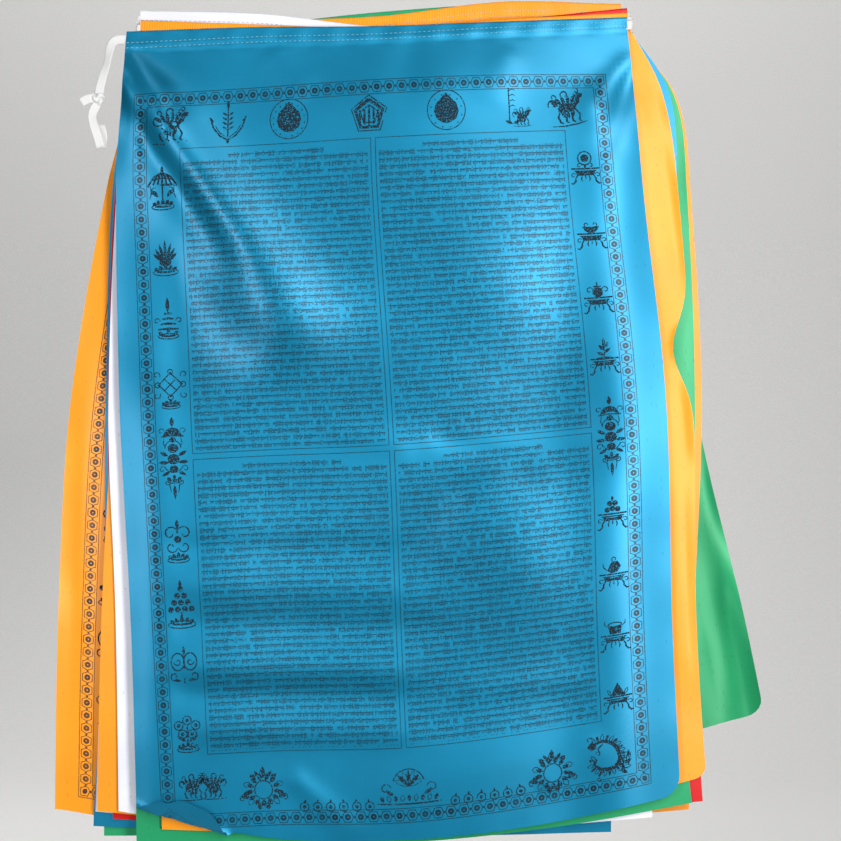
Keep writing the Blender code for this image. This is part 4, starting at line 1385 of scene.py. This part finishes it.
def coiled_creature(pen):
    """A long scaly body in an S, with short legs and a crest."""
    spine = [(-12, -9), (-5, -12), (3, -9), (7, -3), (8, 4), (3, 9), (-5, 9), (-11, 5), (-9, 1)]
    path = [tuple(p) for p in eased([Vector(p) for p in spine], 3)]
    pen.line(path, 3.2, 0.6)
    for i in range(1, len(path) - 1):
        (ax, ay), (bx, by) = path[i - 1], path[i + 1]
        lean = math.degrees(math.atan2(bx - ax, ay - by)) - 76
        pen.petal(*path[i], 5.4, 2.6, lean, full=i % 2 == 0)
    for x, y, sense in ((-4, -10, -1), (6, -4, 1), (6, 6, 1), (-4, 10, -1)):
        pen.line([(x, y), (x + 4 * sense, y + 3), (x + 3 * sense, y + 6)], 1.5, 0.3)
        pen.curl(x + 4 * sense, y + 7, 2.2, 180, 300, 0.9)
    pen.patch([(-16, -9), (-13, -12.4), (-9, -11), (-9, -7.4), (-13, -6)])
    pen.curl(-14, -14, 3.2, 90, -330, 1.1)
    pen.curl(13, 8, 3.6, 90, 330, 1.1)
    for i in range(5):
        pen.petal(8 + 1.6 * i, 12 - 2 * i, 6.4, 2.8, 120 - 30 * i, full=i % 2 == 0)


def wreath(pen):
    """Leaves round an open middle, with a pointed crown."""
    pen.arc(0, 2, 7.6, wide=1.0, steps=16)
    for ring, (count, reach, long, wide) in enumerate(((13, 8.4, 6.4, 4.4), (11, 11.4, 6.6, 5.0))):
        for i in range(count):
            t = math.radians(90 + 360 / count * (i + 0.5 * ring))
            x, y = reach * math.cos(t), 2 + reach * 0.9 * math.sin(t)
            lean = math.degrees(math.atan2(x, -(y - 2)))
            full = ring == 0 or i % 2 == 0
            pen.petal(x, y, long, wide, lean + 14 * math.copysign(ring, x), full)
    pen.petal(0, -8, 9.4, 4.6, 0)
    pen.both(lambda: pen.petal(3.4, -8, 7.0, 3.2, 34))
    pen.both(lambda: pen.curl(17.6, 8.6, 4.0, 180, 320))
    pen.both(lambda: pen.petal(11, 8, 9.0, 3.6, 82))


def ringed(pen, pairs):
    """A dark leaf inside a ring, with dots between them."""
    pen.arc(0, 0, 18.4, wide=0.9, steps=28)
    pen.patch([
        (0, -16), (5, -11), (10, -6), (12, 1), (9.6, 8), (4, 11.6),
        (0, 12.4), (-4, 11.6), (-9.6, 8), (-12, 1), (-10, -6), (-5, -11),
    ])
    for i in range(pairs * 2):
        t = math.pi * (i + 0.5) / pairs
        pen.disc(15.2 * math.sin(t), 1 + 15.2 * math.cos(t), 0.8, sides=5)


def tall_line(pen, x, ys, wide, point=0.0):
    """A stroke straight down through the heights ys."""
    pen.line([(x, y) for y in ys], wide, point)


def spear(pen):
    """A leaf-tipped shaft with barbs over a crescent."""
    tall_line(pen, 0, (-17, -8, 2, 12), 1.1)
    pen.petal(0, -11, 8, 3.4, 0)
    pen.both(lambda: pen.line([(0, 15), (7, 11), (12.6, 4), (15.6, -5), (12.8, -1)], 1.5, 0.3))
    pen.both(lambda: pen.line([(1, 12.6), (7, 8.4), (11, 2.4)], 0.9, 0.4))
    for y in (-6, -2, 2, 6):
        pen.both(lambda: pen.petal(0.4, y, 5.4, 2.0, 58))
    pen.petal(0, 13, 5, 3.4, 180)


def five_sided(pen):
    """A five-sided frame within a frame, filled with upright strokes."""
    turns = [math.radians(72 * i) for i in range(6)]
    corners = [(18 * math.sin(t), -18 * math.cos(t)) for t in turns]
    for share, wide in ((1, 1.3), (0.78, 3.4), (0.5, 1.4)):
        pen.line([(x * share, y * share) for x, y in corners], wide)
    for x in (-9, -4.5, 0, 4.5, 9):
        tall_line(pen, x, (-8 + abs(x) * 0.4, 2, 10 - abs(x) * 0.2), 2.4, 0.3)
    pen.both(lambda: pen.curl(7, -9.4, 3.2, 160, 320))


def staff(pen):
    """A shaft with four pennants over two leaves."""
    tall_line(pen, -3, (-18, -6, 6, 16), 1.1)
    for y in (-15, -10, -5, 0):
        pen.line([(-3, y), (0.6, y - 1.6), (3.0, y - 0.4)], 1.0, 0.5)
    pen.both(lambda: pen.petal(0, 16, 8, 3.2, 66))


def canopy(pen):
    """A ribbed canopy on a shaft with streamers, on a flower seat."""
    for x in (-11, -7.4, -3.7, 0, 3.7, 7.4, 11):
        pen.line([(0, -13), (x * 0.62, -9.6), (x, -3.6)], 1.5)
    pen.line([(-12, -3), (0, -3.6), (12, -3)], 1.6)
    pen.line([(-8, -7.6), (0, -9.0), (8, -7.6)], 1.1)
    pen.both(lambda: pen.petal(3.4, 6, 7.6, 3.6, 40))
    tall_line(pen, 0, (-3, 4, 11), 1.2)
    pen.petal(0, -12, 6, 3, 0)
    pen.both(lambda: pen.curl(6.4, 1.6, 3.4, 250, 320))
    pen.both(lambda: pen.line([(9.5, -3), (9.0, 3), (10.5, 7)], 0.9, 0.5))
    lotus(pen, 12, 9)


def burning_jewel(pen):
    """Flames over a jewel, on a flower seat."""
    flames(pen, 3, 9, 17, 7)
    pen.disc(0, 3.4, 5.0, 0.7)
    lotus(pen, 10, 10)


def stepped_mound(pen):
    """Four steps under a leaf, on a flower seat."""
    for y, reach in ((8, 8), (4, 6), (0, 4.4), (-4, 3.0)):
        pen.line([(-reach, y), (0, y - 0.5), (reach, y)], 2.0, 0.4)
    pen.petal(0, -5, 12, 3.6, 0)
    pen.both(lambda: pen.curl(8.6, 1.4, 2.6, 180, 320))
    lotus(pen, 12, 8, 3)


def knot_on_seat(pen):
    """A lattice knot on a flower seat."""
    woven_knot(pen, 11)
    lotus(pen, 17, 8)


def four_curls(pen):
    """Two pairs of curls round a disc, on a flower seat."""
    pen.both(lambda: pen.curl(5.6, -5, 6.4, 180, 350, 1.3))
    pen.both(lambda: pen.curl(5.2, 6, 5.0, 170, -340, 1.2))
    pen.disc(0, 0, 3.0)
    pen.petal(0, -8, 8, 3.6, 0)
    lotus(pen, 15, 9)


def heaped_jewels(pen):
    """A heap of jewels in four rows, on a flower seat."""
    for row in range(4):
        for i in range(row + 1):
            pen.disc((i - row / 2) * 5.4, -12 + 5.2 * row, 2.4)
    pen.petal(0, -13, 6, 3, 0)
    tall_line(pen, 0, (6, 11), 1.8)
    lotus(pen, 14, 11)


def two_loops(pen):
    """A pair of tall loops with curls inside and below."""
    for side in (-1, 1):
        pen.arc(side * 5.4, -4, 5.6, wide=1.2, steps=14, tall=1.3)
        pen.curl(side * 5.4, -4, 3.4, 90 - 90 * side, 330 * side, 1.1)
        pen.curl(side * 8.4, 8, 4.0, 90, -320 * side, 1.2)
        pen.petal(side * 3.0, 12, 6.4, 3.0, side * 80)
    pen.petal(0, -9, 8, 3.2, 0)
    tall_line(pen, 0, (-12, 0, 14), 1.2)


def flowering_tree(pen):
    """Five ringed flowers on one stem, on a flower seat."""
    tall_line(pen, 0, (12, 4, -4), 1.2)
    for x, y in ((0, -8), (-7, -4), (7, -4), (-4, 3), (4, 3)):
        pen.arc(x, y, 3.6, wide=0.9, steps=9)
        pen.disc(x, y, 1.7, sides=6)
    pen.both(lambda: pen.petal(1, 9, 9, 3.4, 58))
    lotus(pen, 14, 9)


def fan(pen):
    """A fan of leaves over a long row of smaller ones."""
    for i in range(7):
        pen.petal(0, 2, 15, 4.6, -66 + 22 * i, full=i % 2 == 1)
    pen.arc(0, 2, 15.6, 200, 340, 1.0, 14)
    for i in range(9):
        pen.petal(-24 + 6 * i, 16, 6.4, 4.2, (i - 4) * 7, full=i % 2 == 0)
    pen.line([(-30, 17.4), (-15, 18), (0, 18.2), (15, 18), (30, 17.4)], 1.4)
    pen.both(lambda: pen.curl(22, 4, 5.4, 190, 330, 1.2))
    pen.both(lambda: pen.petal(14, 10, 9, 4, 60))


def rosette(pen, lean):
    """A small ringed flower with one leaf."""
    pen.arc(0, 0, 4.2, wide=1.0, steps=10)
    pen.disc(0, 0, 1.9, sides=6)
    pen.petal(0, -3, 4.2, 2.2, lean)


def tabled(pen, offering):
    """A low table with an offering on it."""
    table(pen)
    offering(pen)


Emblem = namedtuple("Emblem", "draw u v size lean side told", defaults=(1.0, 0.0, 1, ()))
# Each emblem's drawing, the place of its middle on the print, its size, its lean in degrees, its
# left-right sense, and what its drawing is told besides
TOP_ROW = [
    Emblem(creature, 36, 32, 1.3, told=(0,)),
    Emblem(spear, 91, 31, 1.1),
    Emblem(ringed, 150, 31, told=(8,)),
    Emblem(five_sided, 228, 32),
    Emblem(ringed, 303, 31, told=(6,)),
    Emblem(staff, 367, 30),
    Emblem(creature, 376, 40, 0.7, told=(2,)),
    Emblem(creature, 420, 33, 1.3, -8, told=(4,)),
]
LEFT_COLUMN = [
    Emblem(canopy, 28, 89, 1.2),
    Emblem(burning_jewel, 28, 152, 1.2),
    Emblem(stepped_mound, 28, 209, 1.2),
    Emblem(knot_on_seat, 28, 270, 1.1),
    Emblem(standard, 28, 339, told=(78,)),
    Emblem(four_curls, 28, 413, 1.15),
    Emblem(heaped_jewels, 28, 473, 1.2),
    Emblem(two_loops, 28, 530, 1.1),
    Emblem(flowering_tree, 28, 589, 1.15),
]
RIGHT_COLUMN = [
    Emblem(tabled, 433, 90.5, 1.15, told=(mirror,)),
    Emblem(tabled, 433, 152.5, 1.15, told=(bowl,)),
    Emblem(tabled, 433, 213.5, 1.15, told=(jar,)),
    Emblem(tabled, 433, 271.5, 1.15, told=(sprig,)),
    Emblem(standard, 434, 345, told=(76,)),
    Emblem(tabled, 433, 418.5, 1.15, told=(fruit,)),
    Emblem(tabled, 433, 475.5, 1.15, told=(shell,)),
    Emblem(tabled, 433, 533.5, 1.15, told=(drum,)),
    Emblem(tabled, 433, 591.5, 1.15, told=(grain,)),
]
BOTTOM_ROW = [
    Emblem(creature, 30, 642, 0.95, told=(1,)),
    Emblem(creature, 50, 642, 0.95, side=-1, told=(1,)),
    Emblem(wreath, 97, 645, 1.12),
    Emblem(wreath, 369, 650, 1.12),
    Emblem(fan, 234, 645),
    Emblem(coiled_creature, 422, 646, 1.25),
]
# Two runs of rosettes under the bottom row
BOTTOM_ROW += [
    Emblem(rosette, start + 12.3 * i, 664, told=(20 - 8 * i,)) for start in (135, 277) for i in range(6)
]


def emblems():
    """Everything on the print that is more than a line: faces, and points in the print's u, v."""
    pen = Pen()
    for emblem in TOP_ROW + LEFT_COLUMN + RIGHT_COLUMN + BOTTOM_ROW:
        pen.at(emblem.u, emblem.v, emblem.size, emblem.lean, emblem.side)
        emblem.draw(pen, *emblem.told)
    return np.array(pen.points), pen.faces


def emblem_mesh(name, indexes, sizes):
    """The emblems' ink on the fronts of some flags, as one mesh."""
    drawn, drawn_faces = emblems()
    off = sizes.cloth_thickness / MM / 2 + INK_OFF
    points, faces = [], []
    for index in indexes:
        a, d = share_of_print(index, drawn[:, 0], drawn[:, 1])
        start = len(drawn) * len(points)
        points.append(sheet_of(index).at(a, d, off))
        faces += [[start + i for i in face] for face in drawn_faces]
    return mesh_of(name, np.concatenate(points), faces)


STITCH_INPUTS = {
    "Stitch length": "stitch_length",
    "Gap": "stitch_gap",
    "Thread radius": "thread_radius",
}


def stitch_tree(thread, sizes):
    """Geometry Nodes that lay stitches along lines: one short thread in each step of the line. Gives
    the tree and its size inputs' identifiers."""
    tree = bpy.data.node_groups.new("Stitches along lines", "GeometryNodeTree")
    face, found = tree.interface, {}
    face.new_socket("Geometry", in_out="INPUT", socket_type="NodeSocketGeometry")
    for name, size in STITCH_INPUTS.items():
        socket = face.new_socket(name, in_out="INPUT", socket_type="NodeSocketFloat")
        socket.default_value = getattr(sizes, size)
        found[name] = socket.identifier
    face.new_socket("Geometry", in_out="OUTPUT", socket_type="NodeSocketGeometry")
    w = Wiring(tree)
    lines, length, gap, radius, *_ = w.node("NodeGroupInput").outputs
    step = w.math("ADD", length, gap)
    places = w.node("GeometryNodeResampleCurve", mode="LENGTH")
    w.fill(places, {"Curve": lines, "Length": step})
    piece = w.fill(w.node("GeometryNodeMeshIcoSphere"), {"Radius": 1.0, "Subdivisions": 1})
    turn = w.node("FunctionNodeAlignRotationToVector", axis="X")
    w.fill(turn, {"Vector": w.node("GeometryNodeInputTangent").outputs[0]})
    laid = w.fill(w.node("GeometryNodeInstanceOnPoints"), {
        "Points": places.outputs["Curve"],
        "Instance": piece.outputs["Mesh"],
        "Rotation": turn.outputs[0],
        "Scale": w.pair(w.math("MULTIPLY", length, 0.5), radius, radius),
    })
    real = w.fill(w.node("GeometryNodeRealizeInstances"), {0: laid.outputs[0]})
    dyed = w.node("GeometryNodeSetMaterial")
    w.fill(dyed, {"Geometry": real.outputs[0], "Material": thread})
    w.fill(w.node("NodeGroupOutput"), {0: dyed.outputs[0]})
    return tree, found


def length_property(name, description, default, low, high):
    """A size setting, in metres."""
    return bpy.props.FloatProperty(
        name=name, description=description, default=default, min=low, max=high,
        subtype="DISTANCE", unit="LENGTH", precision=5)


class PrayerFlagSizes(bpy.types.PropertyGroup):
    """Sizes of the string."""

    cloth_thickness: length_property(
        "Cloth thickness", "Thickness of one layer of cloth", 0.00035, 0.0001, 0.002)
    hem_thickness: length_property(
        "Hem thickness", "Thickness of the turned hem with the tape in it", 0.00145, 0.0005, 0.005)
    tape_width: length_property("Tape width", "Width of the cotton tape", 0.0085, 0.003, 0.03)
    tape_thickness: length_property(
        "Tape thickness", "Thickness of the cotton tape", 0.0007, 0.0002, 0.003)
    stitch_length: length_property(
        "Stitch length", "Length of one stitch of the hem", 0.0033, 0.001, 0.01)
    stitch_gap: length_property("Stitch gap", "Gap between two stitches", 0.0011, 0.0003, 0.01)
    thread_radius: length_property(
        "Thread radius", "Radius of the sewing thread", 0.0003, 0.0001, 0.001)


def dye_property(name, colour):
    """A colour setting."""
    return bpy.props.FloatVectorProperty(
        name=name, description=f"Colour of the {name.lower()}", subtype="COLOR",
        size=3, min=0.0, max=1.0, default=colour)


class PrayerFlagColours(bpy.types.PropertyGroup):
    """Dyes of the string."""

    blue: dye_property("Blue cloth", (0.002, 0.180, 0.322))
    yellow: dye_property("Yellow cloth", (0.930, 0.320, 0.014))
    green: dye_property("Green cloth", (0.018, 0.320, 0.125))
    red: dye_property("Red cloth", (0.560, 0.005, 0.006))
    white: dye_property("White cloth", (0.800, 0.815, 0.910))
    tape: dye_property("Tape", (0.790, 0.785, 0.775))
    thread: dye_property("Sewing thread", (0.22, 0.46, 0.55))
    ink: dye_property("Ink", (0.005, 0.018, 0.030))
    floor: dye_property("Floor", (0.80, 0.79, 0.77))


class PRAYERFLAGS_OT_cloth(bpy.types.Operator):
    """Lays out the twenty sheets of cloth with their print"""

    bl_idname = "prayer_flags.cloth"
    bl_label = "Cloth"

    def execute(self, context):
        dyes = context.scene.prayer_flag_colours
        sizes = context.scene.prayer_flag_sizes
        printed = ruled_print()
        cloths = {}
        for index, flag in enumerate(FLAGS):
            if flag.cloth not in cloths:
                dye = tuple(getattr(dyes, flag.cloth))
                cloths[flag.cloth] = dyed_cloth(flag.cloth + "_cloth", dye, tuple(dyes.ink), printed)
            obj = link("cloth_" + flag.name, cloth_mesh(index, sizes), cloths[flag.cloth])
            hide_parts("flag_" + flag.name)
        return {"FINISHED"}


class PRAYERFLAGS_OT_emblems(bpy.types.Operator):
    """Prints the emblems round the four frames of each flag"""

    bl_idname = "prayer_flags.emblems"
    bl_label = "Emblems"

    def execute(self, context):
        dyes = context.scene.prayer_flag_colours
        sizes = context.scene.prayer_flag_sizes
        ink = plain("ink", tuple(dyes.ink), 0.55, gloss=0.12, under=tuple(dyes.blue))
        for name, indexes in (("front", [FRONT]), ("inner", range(1, len(FLAGS)))):
            obj = link("emblems_" + name, emblem_mesh("emblems_" + name, indexes, sizes), ink)
        return {"FINISHED"}


class PRAYERFLAGS_OT_stitching(bpy.types.Operator):
    """Sews two rows of stitches along each hem's front, and along the last one's back too"""

    bl_idname = "prayer_flags.stitching"
    bl_label = "Stitching"

    def execute(self, context):
        sizes, dyes = context.scene.prayer_flag_sizes, context.scene.prayer_flag_colours
        lines = bpy.data.curves.new("hem_lines", "CURVE")
        lines.dimensions = "3D"
        a = np.linspace(*STITCH_LINE_ENDS, STITCH_LINE_POINTS)
        off = sizes.hem_thickness / MM / 2 + STITCH_OFF
        for index in range(len(FLAGS)):
            hem = hem_tall(index, a)
            for face in (1, -1) if index == REAR else (1,):
                for above in STITCH_ROWS:
                    points = sheet_of(index).at(a, hem - above, face * off) * MM
                    spline = lines.splines.new("POLY")
                    spline.points.add(len(points) - 1)
                    spline.points.foreach_set("co", np.c_[points, np.ones(len(points))].ravel())
        holder = bpy.data.objects.new("hem_lines", lines)
        context.scene.collection.objects.link(holder)
        tree, sockets = stitch_tree(plain("sewing_thread", tuple(dyes.thread), 0.55, 0.2), sizes)
        laid = holder.modifiers.new("Stitches", "NODES")
        laid.node_group = tree
        for name, size in STITCH_INPUTS.items():
            laid[sockets[name]] = getattr(sizes, size)
        context.view_layer.update()
        graph = context.evaluated_depsgraph_get()
        mesh = bpy.data.meshes.new_from_object(holder.evaluated_get(graph))
        bpy.data.objects.remove(holder)
        mesh.shade_smooth()
        obj = link("hem_stitching", mesh)
        return {"FINISHED"}


class PRAYERFLAGS_OT_tape(bpy.types.Operator):
    """Lays the tape's turns between the hems and its tied free end"""

    bl_idname = "prayer_flags.tape"
    bl_label = "Tape"

    def execute(self, context):
        sizes, dyes = context.scene.prayer_flag_sizes, context.scene.prayer_flag_colours
        woven = cotton_tape("cotton_tape", tuple(dyes.tape))
        wide, thick = sizes.tape_width / MM, sizes.tape_thickness / MM
        upright = Vector((0, 0, 1))
        runs = []
        for index in range(REAR):
            centres = eased(loop_line(index), LOOP_STEPS)
            runs.append(tape_run(centres, [upright] * len(centres), wide, thick))
        turns = link("tape_turns", ribbon_mesh("tape_turns", runs), woven)
        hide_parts(*[f"tape_loop_{i + 1:02d}" for i in range(REAR)])
        ties, paths = {}, {}
        for name, table in (("tie_upper", TIE_UPPER), ("tie_end", TIE_END), ("tie_tail", TIE_TAIL)):
            centres, acrosses = tie_lines(table)
            mesh = ribbon_mesh("tape_" + name, [tape_run(centres, acrosses, wide, thick)])
            ties[name] = link("tape_" + name, mesh, woven)
            paths[name] = [tuple(c * MM) for c in centres]
            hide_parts(name)
        knot = link("tape_knot", knot_mesh("tape_knot"), woven)
        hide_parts("tie_knot")
        return {"FINISHED"}


class PRAYERFLAGS_OT_stage(bpy.types.Operator):
    """Sets the plain floor and backdrop, the soft light and the camera"""

    bl_idname = "prayer_flags.stage"
    bl_label = "Stage"

    def execute(self, context):
        dyes = context.scene.prayer_flag_colours
        profile = [(FLOOR_FRONT, FLOOR_Z), (BACKDROP_Y - SWEEP, FLOOR_Z)]
        profile += [
            (BACKDROP_Y - SWEEP + SWEEP * math.sin(t), FLOOR_Z + SWEEP * (1 - math.cos(t)))
            for t in np.linspace(0, math.pi / 2, SWEEP_STEPS + 1)[1:]
        ]
        profile.append((BACKDROP_Y, BACKDROP_TOP))
        points = [(x, y, z) for y, z in profile for x in (-FLOOR_HALF, FLOOR_HALF)]
        faces = [(2 * i, 2 * i + 1, 2 * i + 3, 2 * i + 2) for i in range(len(profile) - 1)]
        mesh = bpy.data.meshes.new("floor")
        mesh.from_pydata(points, [], faces)
        mesh.shade_smooth()
        mesh.materials.append(plain("floor", tuple(dyes.floor), 0.9))
        floor = bpy.data.objects.new("floor", mesh)
        context.scene.collection.objects.link(floor)

        for name, place, aim, size, power, colour in LAMPS:
            lamp = bpy.data.lights.new(name, "AREA")
            lamp.shape = "RECTANGLE"
            lamp.size, lamp.size_y = size
            lamp.energy = power
            lamp.color = colour
            obj = bpy.data.objects.new(name, lamp)
            obj.location = place
            obj.rotation_euler = (Vector(aim) - Vector(place)).to_track_quat("-Z", "Y").to_euler()
            obj.visible_camera = False
            context.scene.collection.objects.link(obj)
        world = bpy.data.worlds.new("studio")
        world.use_nodes = True
        glow = world.node_tree.nodes["Background"].inputs
        glow["Color"].default_value, glow["Strength"].default_value = WORLD_COLOUR, WORLD_STRENGTH
        context.scene.world = world

        context.scene.view_settings.view_transform = "Standard"

        lens = bpy.data.cameras.new("camera")
        lens.sensor_width, lens.lens = CAMERA_SENSOR, CAMERA_LENS
        camera = bpy.data.objects.new("camera", lens)
        camera.location = CAMERA_AT
        camera.rotation_euler = (math.pi / 2, 0.0, 0.0)
        context.scene.collection.objects.link(camera)
        context.scene.camera = camera
        return {"FINISHED"}


class PRAYERFLAGS_PT_panel(bpy.types.Panel):
    """Lists the steps, the sizes and the dyes"""

    bl_label = "Prayer flags"
    bl_idname = "PRAYERFLAGS_PT_panel"
    bl_space_type = "VIEW_3D"
    bl_region_type = "UI"
    bl_category = "Prayer flags"

    def draw(self, context):
        for step in STEPS:
            self.layout.operator(step.bl_idname)
        for group in (context.scene.prayer_flag_sizes, context.scene.prayer_flag_colours):
            for name in group.__annotations__:
                self.layout.prop(group, name)


STEPS = (
    PRAYERFLAGS_OT_cloth,
    PRAYERFLAGS_OT_emblems,
    PRAYERFLAGS_OT_stitching,
    PRAYERFLAGS_OT_tape,
    PRAYERFLAGS_OT_stage,
)
CLASSES = (PrayerFlagSizes, PrayerFlagColours, *STEPS, PRAYERFLAGS_PT_panel)


def register():
    for made in CLASSES:
        bpy.utils.register_class(made)
    bpy.types.Scene.prayer_flag_sizes = bpy.props.PointerProperty(type=PrayerFlagSizes)
    bpy.types.Scene.prayer_flag_colours = bpy.props.PointerProperty(type=PrayerFlagColours)


def unregister():
    del bpy.types.Scene.prayer_flag_colours
    del bpy.types.Scene.prayer_flag_sizes
    for made in reversed(CLASSES):
        bpy.utils.unregister_class(made)


def main():
    """Makes each piece in turn."""
    register()
    bpy.ops.prayer_flags.cloth()
    bpy.ops.prayer_flags.emblems()
    bpy.ops.prayer_flags.stitching()
    bpy.ops.prayer_flags.tape()
    bpy.ops.prayer_flags.stage()


if __name__ == "__main__":
    main()
